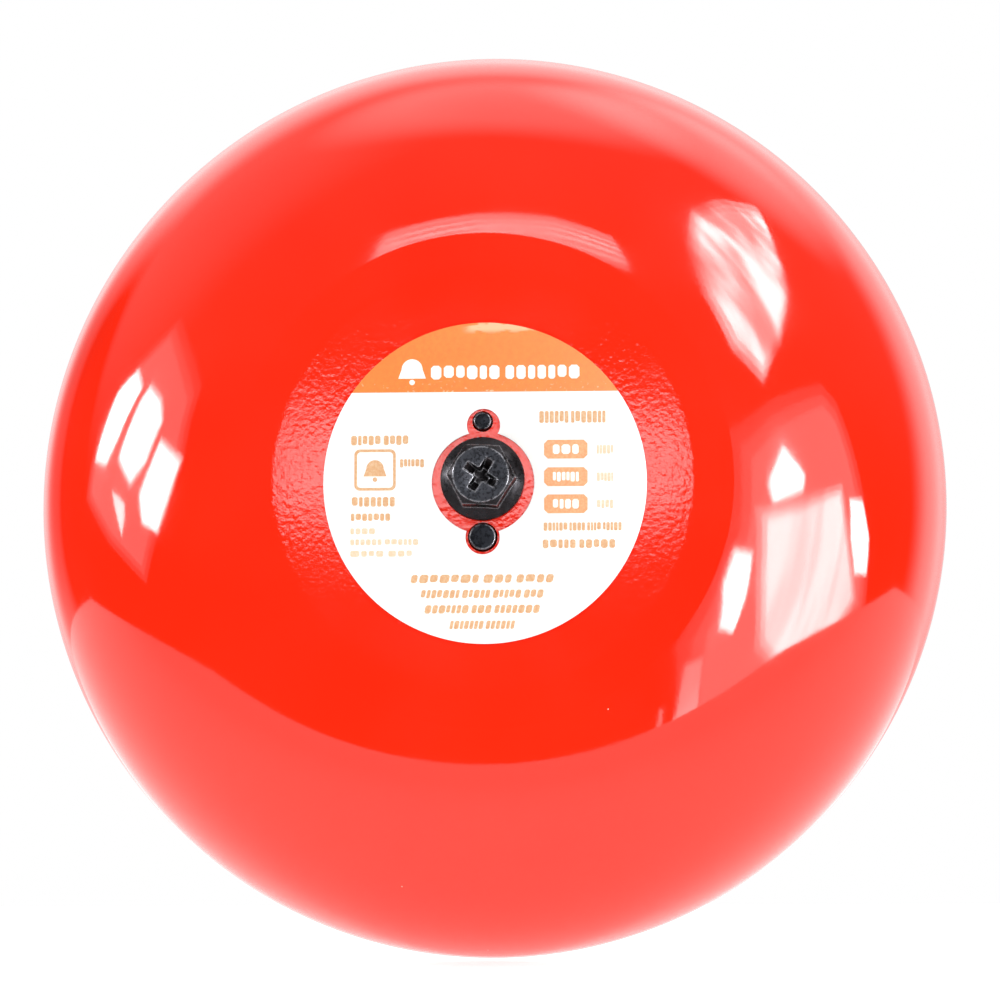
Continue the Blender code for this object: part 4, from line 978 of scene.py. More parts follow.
def hexagon(flats, back, front, turn=0.0, place=(0, 0)):
    return spin(bore(flats / math.sqrt(3), back, front, segments=6), turn, place)


def spin(bm, turn, place=(0, 0)):
    """Turns a mesh about the axis along Y, anticlockwise from the front, then moves it to its place."""
    bm.transform(Matrix.Translation((place[0], 0, place[1])) @ Matrix.Rotation(-turn, 4, "Y"))
    return bm


def make_bolt():
    seat, top = BOLT_SEAT, BOLT_TOP
    corner = HEX_FLATS / math.sqrt(3)
    flange = [
        (0, seat + mm(3.1)),
        (0.85 * corner, seat + mm(3.1)),
        (1.02 * corner, seat + mm(2.2), mm(0.6)),
        (FLANGE_RADIUS, seat + mm(1), mm(0.5)),
        (FLANGE_RADIUS, seat + mm(0.15), mm(0.2)),
        (FLANGE_RADIUS - mm(0.3), seat),
        (0, seat),
    ]
    crown = [
        (0, top),
        (mm(5.95), top),
        (corner + mm(0.2), top - mm(1.3)),
        (corner + mm(0.2), seat + mm(0.6)),
        (0, seat + mm(0.6)),
    ]
    head = boolean(hexagon(HEX_FLATS, seat + mm(1), top, HEX_TURN), "INTERSECT", [lathe(crown)])
    bm = boolean(lathe(rounded(flange)), "UNION", [head])
    bm = cut(bm, *cross_recess(mm(3.9), mm(2.0), top - mm(3.2), top + mm(0.02), math.radians(58)))
    soften(bm, mm(0.12), 2, 42)
    add_to(bm, thread(mm(4), mm(1.25), depths("gong_bolt")[0], seat + mm(0.3)))
    finish_mesh("bolt", bm, OXIDE, replaces="gong_bolt", sharp=32)


def thread(radius, pitch, end, start, segments=48):
    """A threaded shank between two depths, its tip at the end. Its ridges run straight round."""
    side = 1 if start > end else -1
    outline = [(0, start), (radius, start)]
    for i in range(int((abs(start - end) - mm(1)) / pitch)):
        depth = start - side * (mm(0.4) + i * pitch)
        outline += [(radius, depth), (radius - 0.45 * pitch, depth - side * pitch / 2)]
    outline += [(radius - 0.1 * pitch, end + side * 0.8 * pitch), (radius - 0.7 * pitch, end), (0, end)]
    return lathe(outline, segments=segments)


def make_pins():
    for name in PINS:
        back, front = depths(name)
        radius = radius_of(name)
        outline = [
            (0, front),
            (radius * 0.55, front - mm(0.02)),
            (radius - mm(0.15), front - mm(0.03), mm(0.2)),
            (radius, front - mm(0.35), mm(0.15)),
            (radius, back + mm(0.3)),
            (radius - mm(0.3), back),
            (0, back),
        ]
        bm = lathe(rounded(outline), centre(name), 64)
        mesh_name = name.replace("locating_pin", "dowel")
        finish_mesh(mesh_name, bm, PIN_FINISH, replaces=name)


def make_cushion():
    refine("gong_cushion", "cushion", RUBBER, mm(0.25))


# ---------------------------------------------------------------- chassis and wall plate


def deck_outline(inset=0.0):
    """The deck's edge: straight sides past the motor, narrowing to a round tip at the wheel's axle."""
    wide, tip = DECK_HALF_WIDTH - inset, DECK_TIP_RADIUS - inset
    slope = math.asin((wide - tip) / (MOTOR_AXIS[1] - WHEEL_AXIS[1]))
    return [
        *arc((0, 0), wide, math.pi, 0, 48),
        *arc(MOTOR_AXIS, wide, 0, -slope, 8),
        *arc(WHEEL_AXIS, tip, -slope, slope - math.pi, 40),
        *arc(MOTOR_AXIS, wide, slope - math.pi, -math.pi, 8),
    ]


def bore(radius, back, front, place=(0, 0), segments=40):
    """A round cutter."""
    return lathe([(0, back), (radius, back), (radius, front), (0, front)], place, segments)


def make_chassis():
    back, front = depths("chassis")
    foot, pad = back + mm(3), front - mm(3.5)
    outline = [
        (0, front),
        (mm(18), front, mm(0.5)),
        (mm(18), pad, mm(0.6)),
        (mm(11), pad - mm(3), mm(1.5)),
        (mm(11), foot + mm(5), mm(3)),
        (mm(13), foot, mm(2)),
        (mm(22), foot, mm(0.6)),
        (mm(22), back, mm(0.3)),
        (0, back),
    ]
    column = lathe(rounded(outline), segments=96)
    deck = slab([deck_outline()], DECK_BACK, DECK_FRONT, mm(0.4))
    walls = slab([deck_outline(), deck_outline(mm(2))], DECK_FRONT - mm(0.8), DECK_FRONT + mm(5), mm(0.35))
    bm = boolean(column, "UNION", [deck, walls])
    through = (DECK_BACK - mm(1), DECK_FRONT + mm(1))
    holes = [bore(mm(4.3), mm(30), front + mm(1))]
    holes += [bore(radius, pad - mm(0.5), front + mm(1), place) for place, radius in PIN_HOLES]
    holes += [bore(mm(4.3), *through, MOTOR_AXIS), bore(mm(2.8), *through, WHEEL_AXIS)]
    holes += [bore(mm(1.4), *through, centre(name)) for name in MOTOR_SCREWS]
    holes += [bore(mm(2.2), back - mm(1), foot + mm(1), centre(name)) for name in CHASSIS_SCREWS]
    bm = cut(bm, *holes)
    finish_mesh("chassis_casting", bm, COAT, replaces="chassis", sharp=32)


def make_wall_plate():
    loops = [circle((0, 0), radius_of("mounting_plate"), 160)]
    for i in range(4):
        loops.append(slot_outline(math.radians(45 + 90 * i), SLOT_CIRCLE, mm(10), mm(5)))
    loops += [circle(centre(name), mm(2.2), 32) for name in CHASSIS_SCREWS]
    loops.append(circle(centre("wire_grommet"), mm(7), 64))
    bm = slab(loops, 0, depths("mounting_plate")[1], mm(0.2))
    finish_mesh("wall_plate", bm, ZINC, replaces="mounting_plate")


def slot_outline(angle, circle_radius, length, width):
    """A slot with round ends, across the radius at that angle."""
    reach = (length - width) / 2
    points = arc((0, reach), width / 2, 0, math.pi, 16)
    points += arc((0, -reach), width / 2, math.pi, 2 * math.pi, 16)
    return [
        (
            (circle_radius + x) * math.cos(angle) - z * math.sin(angle),
            (circle_radius + x) * math.sin(angle) + z * math.cos(angle),
        )
        for x, z in points
    ]


def make_grommet():
    back, front = depths("wire_grommet")
    plate_front = depths("mounting_plate")[1]
    collar, hole, bore_radius = radius_of("wire_grommet"), mm(6.7), mm(4.5)
    outline = [
        (bore_radius, back + mm(1)),
        (bore_radius, front, mm(0.6)),
        (collar - mm(1), front, mm(0.8)),
        (collar, front - mm(0.9), mm(0.5)),
        (collar, plate_front + mm(0.3), mm(0.3)),
        (hole, plate_front + mm(0.3), mm(0.1)),
        (hole, back, mm(0.4)),
        (bore_radius, back, mm(0.4)),
        (bore_radius, back + mm(1)),
    ]
    bm = lathe(rounded(outline)[:-1], centre("wire_grommet"), 64, closed=True)
    finish_mesh("grommet", bm, RUBBER, replaces="wire_grommet")


# ---------------------------------------------------------------- screws


def make_screw(name, node, reach, shank, slotted=False, facing_back=False):
    """A pan-head screw with a cross recess or a slot. Its shape is made facing front at the origin."""
    low, high = depths(node)
    length, radius = high - low, radius_of(node)
    head = {"chassis": mm(2.6), "board": mm(1.5), "motor": mm(1.5), "terminal": mm(1)}[node.split("_")[0]]
    outline = [(0, head), (0.45 * radius, 0.98 * head), (0.8 * radius, 0.86 * head), (radius, 0.45 * head)]
    outline += [(radius, 0.12 * head), (0.94 * radius, 0), (0, 0)]
    bm = lathe(rounded([(*p, 0.3 * head) for p in outline]), segments=64)
    width = 0.4 * reach
    if slotted:
        slit = [wedge_bar(1.3 * radius, 1.3 * radius, width, width, 0.4 * head, 1.1 * head, RECESS_TURN)]
    else:
        slit = cross_recess(reach, width, 0.3 * head, 1.02 * head, RECESS_TURN)
    bm = cut(bm, *slit)
    soften(bm, mm(0.05), 1, 40)
    add_to(bm, thread(shank, shank * 0.4, head - length, mm(0.1), segments=24))
    if facing_back:
        bm.transform(Matrix.Rotation(math.pi, 4, "X"))
    seat = low + head if facing_back else high - head
    x, z = centre(node)
    bm.transform(Matrix.Translation((x, -seat, z)))
    finish_mesh(name, bm, SCREW_STEEL, replaces=node, sharp=40)


def make_screws():
    for i, node in enumerate(CHASSIS_SCREWS, 1):
        make_screw(f"foot_screw_{i}", node, mm(2.1), mm(1.9))
    for i in range(1, 5):
        make_screw(f"board_fixing_{i}", f"board_screw_{i}", mm(1.3), mm(1.1))
        make_screw(f"clamp_screw_{i}", f"terminal_screw_{i}", mm(1.1), mm(1), slotted=True)
    for i, node in enumerate(MOTOR_SCREWS, 1):
        make_screw(f"motor_fixing_{i}", node, mm(1.2), mm(1.1), facing_back=True)


# ---------------------------------------------------------------- circuit board


def make_standoffs():
    for i in range(1, 5):
        node = f"board_standoff_{i}"
        back, front = depths(node)
        place = centre(node)
        crown = [(0, back), (mm(2.55), back), (mm(2.95), back + mm(0.4))]
        crown += [(mm(2.95), front - mm(0.4)), (mm(2.55), front), (0, front)]
        bm = boolean(hexagon(mm(5), back, front, 0, place), "INTERSECT", [lathe(crown, place, 48)])
        bm = cut(bm, bore(mm(1.4), back + mm(2), front + mm(1), place, 24))
        finish_mesh(f"standoff_{i}", bm, BRASS, replaces=node)


def make_board():
    """The board with its round corners and drilled holes, and a ring of solder round each hole."""
    low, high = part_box("circuit_board")
    back, front = depths("circuit_board")
    nip = mm(1.2)
    outline = []
    for i, (x, z) in enumerate(((low.x, low.z), (high.x, low.z), (high.x, high.z), (low.x, high.z))):
        inward = (x - math.copysign(nip, x), z + (nip if z == low.z else -nip))
        outline += arc(inward, nip, math.pi + i * math.pi / 2, 1.5 * math.pi + i * math.pi / 2, 6)
    holes = [centre(f"board_screw_{i}") for i in range(1, 5)]
    panel = slab([outline, *[circle(place, mm(1.4), 32) for place in holes]], back, front, mm(0.05), 1)
    finish_mesh("board_panel", panel, MASK, replaces="circuit_board")
    rings = bmesh.new()
    for place in holes:
        rim = [circle(place, mm(2.7), 40), circle(place, mm(1.45), 32)]
        add_to(rings, slab(rim, front - mm(0.02), front + mm(0.04)))
        add_to(rings, slab(rim, back - mm(0.04), back + mm(0.02)))
    finish_mesh("board_pads", rings, SOLDER)


def track(route, depth, radius):
    """A copper track: a wire pressed nearly flat against the board's surface at that depth."""
    path = tube([(x, -depth, z) for x, z in route], radius, 2)
    press = Matrix.Diagonal((1, 0.12, 1, 1))
    path.transform(Matrix.Translation((0, -depth, 0)) @ press @ Matrix.Translation((0, depth, 0)))
    return path


def make_tracks():
    """Copper tracks, as bands raised under the mask on both sides, and a solder joint at each leg."""
    back, front = depths("circuit_board")
    bm = bmesh.new()
    for route in TRACKS:
        add_to(bm, track(route, front, mm(0.45)))
    for x, z in LEGS:
        add_to(bm, track([(x, z), (x * 0.8, z - mm(3)), (x * 0.8, mm(27))], back, mm(0.5)))
    finish_mesh("board_tracks", bm, TRACK)
    joints = bmesh.new()
    cone = [
        (0, back - mm(1)),
        (mm(0.3), back - mm(0.95)),
        (mm(0.42), back - mm(0.5)),
        (mm(0.95), back - mm(0.08)),
        (mm(1), back + mm(0.02)),
        (0, back + mm(0.02)),
    ]
    dome = [
        (0, front + mm(0.25)),
        (mm(0.5), front + mm(0.2)),
        (mm(0.75), front + mm(0.03)),
        (mm(0.75), front - mm(0.02)),
        (0, front - mm(0.02)),
    ]
    for place in LEGS:
        add_to(joints, lathe(cone, place, 20), lathe(dome, place, 20))
    finish_mesh("solder_joints", joints, SOLDER)


def make_silk():
    """Thin printed outlines round the components: rings and boxes, with no lettering."""
    front = depths("circuit_board")[1]
    bm = bmesh.new()
    shapes = [
        ring_loops(centre("smoothing_capacitor"), mm(4.6)),
        box_loops("terminal_block", mm(0.5)),
        box_loops("bridge_rectifier", mm(0.5)),
        box_loops("dropper_resistor", mm(0.7)),
        box_loops("varistor", mm(0.6)),
    ]
    for loops in shapes:
        add_to(bm, slab(loops, front - mm(0.02), front + mm(0.03)))
    finish_mesh("board_outlines", bm, SILK)


def ring_loops(place, radius):
    return [circle(place, radius, 64), circle(place, radius - mm(0.18), 64)]


def box_loops(node, margin):
    low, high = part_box(node)
    loops = []
    for grow in (margin, margin - mm(0.18)):
        a, b, c, d = low.x - grow, high.x + grow, low.z - grow, high.z + grow
        loops.append([(a, c), (b, c), (b, d), (a, d)])
    return loops


def make_terminal_block():
    low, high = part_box("terminal_block")
    back, front = depths("terminal_block")
    size = high - low
    body = box((low + high) / 2, size, mm(0.35), 3)
    wells, clamps = [], bmesh.new()
    for i in range(1, 5):
        x, z = centre(f"terminal_screw_{i}")
        floor = front - mm(3)
        wells.append(bore(mm(2), floor, front + mm(1), (x, z), 40))
        wells.append(bore(mm(1.3), floor - mm(3.5), floor + mm(1), (x, z), 24))
        wells.append(box((x, -(back + mm(3)), high.z), (mm(3), mm(3), mm(4))))
        if i < 4:
            between = x + mm(2.54)
            wells.append(box((between, -front, z), (mm(0.35), mm(0.8), size.z + mm(1))))
            wells.append(box((between, -(back + front) / 2, high.z), (mm(0.35), size.y + mm(1), mm(0.5))))
        cage = box((x, -(back + mm(3)), high.z - mm(1.9)), (mm(2.7), mm(2.7), mm(0.5)), mm(0.1))
        add_to(clamps, cut(cage, box((x, -(back + mm(3)), high.z - mm(1.9)), (mm(1.9), mm(1.6), mm(2)))))
    body = cut(body, *wells)
    finish_mesh("terminal_body", body, TERMINAL_GREEN, replaces="terminal_block")
    finish_mesh("terminal_cages", clamps, SCREW_STEEL)


def make_bridge():
    low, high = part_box("bridge_rectifier")
    middle = (low + high) / 2
    front = depths("bridge_rectifier")[1]
    over = front + mm(0.3)
    dent = [(0, front - mm(0.25)), (mm(0.7), front - mm(0.2)), (mm(0.8), over), (0, over)]
    dimple = lathe(dent, (low.x + mm(1.6), high.z - mm(1.5)), 32)
    notch = box((high.x, middle.y, high.z), (mm(1.6), high.y - low.y + mm(1), mm(1.6)))
    corner = Vector((high.x, 0, high.z))
    turn = Matrix.Rotation(math.pi / 4, 4, "Y")
    notch.transform(Matrix.Translation(corner) @ turn @ Matrix.Translation(-corner))
    bm = cut(box(middle, high - low, mm(0.5), 3), dimple, notch)
    finish_mesh("rectifier_body", bm, BLACK_PLASTIC, replaces="bridge_rectifier")
    legs = bmesh.new()
    board = depths("circuit_board")[1]
    for x in (low.x + mm(1.2), high.x - mm(1.2)):
        for z in (low.z + mm(0.9), high.z - mm(0.9)):
            add_to(legs, box((x, -(board + mm(0.2)), z), (mm(0.6), mm(0.6), mm(0.6)), mm(0.08)))
    finish_mesh("rectifier_legs", legs, SOLDER)


def make_capacitor():
    back, front = depths("smoothing_capacitor")
    radius, place = radius_of("smoothing_capacitor"), centre("smoothing_capacitor")
    sleeve = [
        (0, front - mm(0.35)),
        (radius - mm(1.1), front - mm(0.32)),
        (radius - mm(0.9), front - mm(0.04), mm(0.1)),
        (radius - mm(0.35), front, mm(0.2)),
        (radius, front - mm(0.7), mm(0.5)),
        (radius, back + mm(2), mm(0.4)),
        (radius - mm(0.45), back + mm(1.4), mm(0.4)),
        (radius, back + mm(0.9), mm(0.4)),
        (radius, back, mm(0.3)),
        (0, back),
    ]
    bm = lathe(rounded(sleeve), place, 72)
    skin = shrink_sleeve(place, radius)
    finish_mesh("capacitor_sleeve", bm, skin, replaces="smoothing_capacitor")
    top = bore(radius - mm(1.15), front - mm(0.24), front - mm(0.5), place, 48)
    vents = [
        wedge_bar(radius * 0.6, radius * 0.6, mm(0.2), mm(0.1), front - mm(0.32), front, turn, place)
        for turn in (0.3, 0.3 + math.pi / 2)
    ]
    finish_mesh("capacitor_top", cut(top, *vents), SOLDER)


def make_varistor():
    low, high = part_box("varistor")
    middle = (low + high) / 2
    half, radius = (high.z - low.z) / 2, (high.x - low.x) / 2
    shares = ((0, 1), (0.5, 0.97), (0.8, 0.82), (0.95, 0.5), (1, 0))
    outline = [(r * radius, d * half) for r, d in shares]
    outline += [(r, -d) for r, d in reversed(outline[:-1])]
    bm = lathe(rounded([(*p, mm(0.8)) for p in outline]), segments=72)
    bm.transform(Matrix.Translation(middle) @ Matrix.Rotation(math.pi / 2, 4, "X"))
    finish_mesh("varistor_disc", bm, VARISTOR, replaces="varistor")


def make_resistor():
    low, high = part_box("dropper_resistor")
    middle = (low + high) / 2
    half, radius = (high.x - low.x) / 2, (high.z - low.z) / 2
    waist = 0.86 * radius
    outline = [(0, half), (0.7 * radius, half, mm(0.1)), (radius, half - mm(0.35), mm(0.3))]
    outline += [(radius, half - mm(1.4), mm(0.4)), (waist, half - mm(1.9), mm(0.4)), (waist, 0)]
    outline += [(p[0], -p[1], *p[2:]) for p in reversed(outline[:-1])]
    bm = lathe(rounded(outline), segments=48)
    bm.transform(Matrix.Translation(middle) @ Matrix.Rotation(math.pi / 2, 4, "Z"))
    bands = ((0.35, 0.12, 0.02), (0.02, 0.02, 0.02), (0.5, 0.05, 0.02), (0.5, 0.35, 0.08))
    body = banded((middle.x, middle.z), 2 * half, bands)
    finish_mesh("resistor_body", bm, body, replaces="dropper_resistor")
    board = depths("circuit_board")[1]
    legs = bmesh.new()
    for side in (-1, 1):
        start = Vector((middle.x + side * (half - mm(0.1)), middle.y, middle.z))
        corner = start + Vector((side * mm(1.1), 0, 0))
        route = [start, start + (corner - start) * 0.6, corner + Vector((0, mm(0.5), 0))]
        route.append(Vector((corner.x, -board, middle.z)))
        add_to(legs, tube(route, mm(0.3), 3))
    finish_mesh("resistor_legs", legs, SOLDER)


# ---------------------------------------------------------------- motor


def smooth_route(stops, per_stop):
    """Points on a smooth curve through the stops (a Catmull-Rom spline)."""
    ends = [Vector(p) for p in (stops[0], *stops, stops[-1])]
    points = []
    for a, b, c, d in zip(ends, ends[1:], ends[2:], ends[3:]):
        for i in range(per_stop):
            t = i / per_stop
            low = (-t + 2 * t**2 - t**3) / 2 * a + (2 - 5 * t**2 + 3 * t**3) / 2 * b
            points.append(low + (t + 4 * t**2 - 3 * t**3) / 2 * c + (t**3 - t**2) / 2 * d)
    return [*points, ends[-1]]


def make_leads():
    """The two insulated leads from the board to the motor, with bare ends soldered at both."""
    motor = MOTOR_AXIS[1] * 1000
    stops = [(14, 23, 14.3), (16, 18, 16.5), (19, 8, 24), (20.5, -4, 34), (19.5, -15, 44), (15, -25, 50.5)]
    stops += [(9.5, motor + 4, 53), (6.9, motor, 52.6)]
    for name, node, side, material in (
        ("lead_red", "motor_lead_red", 1, RED_WIRE),
        ("lead_black", "motor_lead_black", -1, BLACK_WIRE),
    ):
        route = smooth_route([(side * mm(x), -mm(depth), mm(z)) for x, z, depth in stops], 14)
        cover = tube(route[3:-5], mm(0.65), 5)
        finish_mesh(name, cover, material, replaces=node)
        core = tube(route[:6], mm(0.3), 3)
        add_to(core, tube(route[-8:], mm(0.3), 3), drop(route[-1], mm(0.75)), drop(route[0], mm(0.8)))
        finish_mesh(f"{name}_ends", core, SOLDER)


def drop(place, radius):
    """A blob of solder."""
    bm = bmesh.new()
    bmesh.ops.create_icosphere(bm, subdivisions=3, radius=radius)
    for vertex in bm.verts:
        vertex.co *= 1 - 0.18 * math.sin(2.1 + vertex.co.x / radius * 2) * vertex.co.z / radius
    bm.transform(Matrix.Translation(place))
    return bm


def make_motor_case():
    back, front = depths("motor_can")
    floor = DECK_FRONT + mm(0.3)
    outer, inner, boss, hole = radius_of("motor_can"), mm(11), mm(4), mm(3.3)
    outline = [
        (outer, front - mm(1)),
        (outer, floor, mm(0.9)),
        (boss, floor, mm(0.3)),
        (boss, back, mm(0.4)),
        (hole, back, mm(0.2)),
        (hole, floor + mm(1), mm(0.2)),
        (inner, floor + mm(1), mm(0.4)),
        (inner, front, mm(0.2)),
        (outer, front, mm(0.2)),
        (outer, front - mm(1)),
    ]
    bm = lathe(rounded(outline)[:-1], MOTOR_AXIS, 112, closed=True)
    x, z = MOTOR_AXIS
    cutters = [bore(mm(1.4), floor - mm(1), floor + mm(2), centre(name), 24) for name in MOTOR_SCREWS]
    cutters.append(box((x, -(floor + front) / 2, z - outer), (mm(0.15), front - floor, mm(0.25))))
    reach = outer + mm(0.55)
    for angle in (0.6, math.pi - 0.6, math.pi + 0.6, -0.6):
        place = (x + reach * math.cos(angle), z + reach * math.sin(angle))
        cutters.append(bore(mm(0.9), front - mm(2.2), front - mm(0.8), place, 20))
    finish_mesh("motor_shell", cut(bm, *cutters), STEEL, replaces="motor_can")
    make_end_cap()
    low, high = depths("motor_bearing")
    ring = [(mm(1.2), high), (mm(1.45), high), (mm(2.8), high), (mm(3), high - mm(0.2))]
    ring += [(mm(3), low + mm(0.2)), (mm(2.8), low), (mm(1.45), low), (mm(1.2), low + mm(0.2))]
    bearing = lathe(ring, MOTOR_AXIS, 64, closed=True)
    finish_mesh("sleeve_bearing", bearing, BRONZE, replaces="motor_bearing")


def make_end_cap():
    back, front = depths("motor_end_cap")
    flange = mm(48.1)
    outer = radius_of("motor_end_cap")
    outline = [
        (outer, flange + mm(1)),
        (outer, front, mm(0.6)),
        (mm(4.4), front, mm(0.3)),
        (mm(4.2), front - mm(0.5), mm(0.2)),
        (mm(1.3), front - mm(0.5), mm(0.1)),
        (mm(1.3), front - mm(1), mm(0.1)),
        (mm(4), front - mm(1), mm(0.1)),
        (mm(4), back, mm(0.2)),
        (mm(10.7), back, mm(0.3)),
        (mm(10.7), flange, mm(0.1)),
        (outer, flange, mm(0.2)),
        (outer, flange + mm(1)),
    ]
    bm = lathe(rounded(outline)[:-1], MOTOR_AXIS, 96, closed=True)
    x, z = MOTOR_AXIS
    slots = []
    for side in (-1, 1):
        slots.append(box((x, -front, z + side * mm(8.2)), (mm(5), mm(1), mm(1.6)), mm(0.2)))
        slots.append(box((x + side * outer, -front, z), (mm(1.6), mm(8), mm(2)), mm(0.2)))
    finish_mesh("motor_cap", cut(bm, *slots), BLACK_PLASTIC, replaces="motor_end_cap")


def make_motor_inside():
    for i in (1, 2):
        refine(f"motor_magnet_{i}", f"magnet_{i}", FERRITE, mm(0.3))
        refine(f"motor_brush_{i}", f"brush_{i}", CARBON, mm(0.12))
        low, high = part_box(f"motor_terminal_{i}")
        middle = (low + high) / 2
        tab = box(middle, high - low, mm(0.12))
        eye = lathe([(0, 1), (mm(0.5), 1), (mm(0.5), -1), (0, -1)], segments=20)
        turn = Matrix.Rotation(math.pi / 2, 4, "Z")
        eye.transform(Matrix.Translation(middle - Vector((0, mm(0.7), 0))) @ turn)
        finish_mesh(f"terminal_tab_{i}", cut(tab, eye), BRASS, replaces=f"motor_terminal_{i}")


def make_rotor():
    back, front = depths("motor_shaft")
    radius, chamfer = mm(1), mm(0.2)
    outline = [(0, front), (radius - chamfer, front), (radius, front - chamfer), (radius, back + chamfer)]
    shaft = lathe([*outline, (radius - chamfer, back), (0, back)], MOTOR_AXIS, 40)
    finish_mesh("rotor_shaft", shaft, STEEL, "rotor", "motor_shaft")
    refine("motor_pinion", "pinion", BRASS, mm(0.09), "rotor")
    core = bmesh.new()
    coils = bmesh.new()
    low, high = mm(37), mm(45)
    for i in range(3):
        turn = math.pi / 3 + 2 * math.pi * i / 3
        add_to(core, spin(slab([pole_outline()], low, high, mm(0.08), 1), turn, MOTOR_AXIS))
        coil = box((mm(3.9), -(low + high) / 2, 0), (mm(3.9), mm(10.2), mm(5.2)), mm(0.9), 4)
        add_to(coils, spin(coil, turn, MOTOR_AXIS))
    hub = [(mm(1.3), low), (mm(2.6), low), (mm(2.6), high), (mm(1.3), high)]
    add_to(core, lathe(hub, MOTOR_AXIS, 40, closed=True))
    finish_mesh("rotor_core", core, STEEL, "rotor")
    finish_mesh("rotor_coils", coils, WINDINGS, "rotor", "motor_armature")
    low, high = depths("motor_commutator")
    ring = [(mm(1.3), low), (mm(2.2), low), (mm(2.4), low + mm(0.2))]
    ring += [(mm(2.4), high - mm(0.1)), (mm(2.3), high), (mm(1.3), high)]
    bm = lathe(ring, MOTOR_AXIS, 72, closed=True)
    cuts = []
    for i in range(3):
        slit = box((mm(2.2), -(low + high) / 2, 0), (mm(1), mm(4), mm(0.2)))
        cuts.append(spin(slit, 2 * math.pi * i / 3, MOTOR_AXIS))
    finish_mesh("commutator_ring", cut(bm, *cuts), COMMUTATOR, "rotor", "motor_commutator")


def pole_outline():
    """One pole of the rotor's core: a neck from the middle and a curved shoe under the magnets."""
    outer, inner, half = mm(7.8), mm(6.6), math.radians(52)
    neck = mm(1)
    shoe = arc((0, 0), outer, -half, half, 24) + arc((0, 0), inner, half, math.asin(neck / inner), 8)
    shoe += [(mm(2.2), neck), (mm(2.2), -neck)]
    return shoe + arc((0, 0), inner, -math.asin(neck / inner), -half, 8)


# ---------------------------------------------------------------- striker wheel and hammer


def make_wheel():
    refine("striker_wheel", "striker_gear", NYLON, mm(0.12), "wheel")
    refine("wheel_washer", "washer", STEEL, mm(0.1))
    refine("wheel_clip", "axle_clip", SPRING_STEEL, mm(0.08))
    back, front = depths("wheel_axle")
    seat, flange = mm(33.3), mm(4.5)
    outline = [
        (0, front - mm(0.15)),
        (mm(0.9), front - mm(0.15)),
        (mm(1.2), front, mm(0.2)),
        (flange, front, mm(0.4)),
        (flange, seat, mm(0.2)),
        (mm(2.5), seat),
        (mm(2.5), back + mm(1.45)),
        (mm(2.2), back + mm(1.4)),
        (mm(2.2), back + mm(0.65)),
        (mm(2.5), back + mm(0.6)),
        (mm(2.5), back, mm(0.4)),
        (0, back),
    ]
    axle = lathe(rounded(outline), WHEEL_AXIS, 64)
    finish_mesh("axle", axle, STEEL, replaces="wheel_axle")


def make_hammer():
    refine("hammer_bumper", "bumper", RUBBER, mm(0.2), "wheel")
    refine("hammer_clip", "pin_clip", SPRING_STEEL, mm(0.06), "wheel")
    back, front = depths("hammer_pin")
    pin = rounded([(0, front), (mm(1.5), front, mm(0.2)), (mm(1.5), back, mm(0.35)), (0, back)])
    finish_mesh("pivot_pin", lathe(pin, PIVOT_AXIS, 48), STEEL, "wheel", "hammer_pin")
    back, front = depths("hammer")
    radius, eye_radius, eye_back = HAMMER_HEAD_RADIUS, mm(3.6), mm(16)
    head = [(0, front), (radius, front, mm(0.8)), (radius, back, mm(0.8)), (0, back)]
    eye = [(0, front), (eye_radius, front, mm(0.4)), (eye_radius, eye_back, mm(0.4)), (0, eye_back)]
    parts = [lathe(rounded(eye), PIVOT_AXIS, 64), arm_slab(mm(17.3), mm(20.5))]
    bm = boolean(lathe(rounded(head), HAMMER_HEAD, 96), "UNION", parts)
    bm = cut(bm, bore(mm(1.7), mm(10), mm(30), PIVOT_AXIS, 40))
    finish_mesh("striker_hammer", bm, HAMMER_STEEL, "hammer", "hammer")


def arm_slab(back, front):
    """The hammer's arm between its head and its eye, narrowing slightly in the middle."""
    along = Vector((HAMMER_HEAD[0] - PIVOT_AXIS[0], HAMMER_HEAD[1] - PIVOT_AXIS[1]))
    across = Vector((-along.y, along.x)).normalized()
    loop = []
    for side in (1, -1):
        for i in range(13):
            t = i / 12 if side > 0 else 1 - i / 12
            half = mm(2.2) - mm(0.35) * math.sin(math.pi * t) ** 2
            loop.append(tuple(Vector(PIVOT_AXIS) + along * t + across * half * side))
    return slab([loop], back, front, mm(0.3))


def make_spring():
    """The hammer's return spring: a coil on the pin, one leg on the wheel and one hooked on the hammer."""
    back, front = mm(22.3), mm(24.3)
    turns, per_turn = 3, 32
    start = HAMMER_REST + math.pi / 2
    coil = []
    for i in range(turns * per_turn + 1):
        angle = start + 2 * math.pi * i / per_turn
        depth = back + (front - back) * i / (turns * per_turn)
        coil.append((SPRING_COIL * math.cos(angle), SPRING_COIL * math.sin(angle), depth))
    along = (math.cos(HAMMER_REST), math.sin(HAMMER_REST))
    outward = (math.cos(start), math.sin(start))
    side = mm(2.75)
    x, z = (along[k] * SPRING_LEG + outward[k] * side for k in (0, 1))
    hook = [(x, z, mm(18.5)), (x, z, mm(21.9)), (x - along[0] * mm(0.4), z - along[1] * mm(0.4), back)]
    tail = (coil[-1][0] - along[0] * SPRING_LEG, coil[-1][1] - along[1] * SPRING_LEG, front)
    route = [(PIVOT_AXIS[0] + x, -depth, PIVOT_AXIS[1] + z) for x, z, depth in (*hook, *coil, tail)]
    bm = tube(route, mm(0.25), 4)
    spring = finish_mesh("return_spring", bm, SPRING_STEEL, None, "hammer_spring")
    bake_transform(spring)


# ---------------------------------------------------------------- camera, light and floor


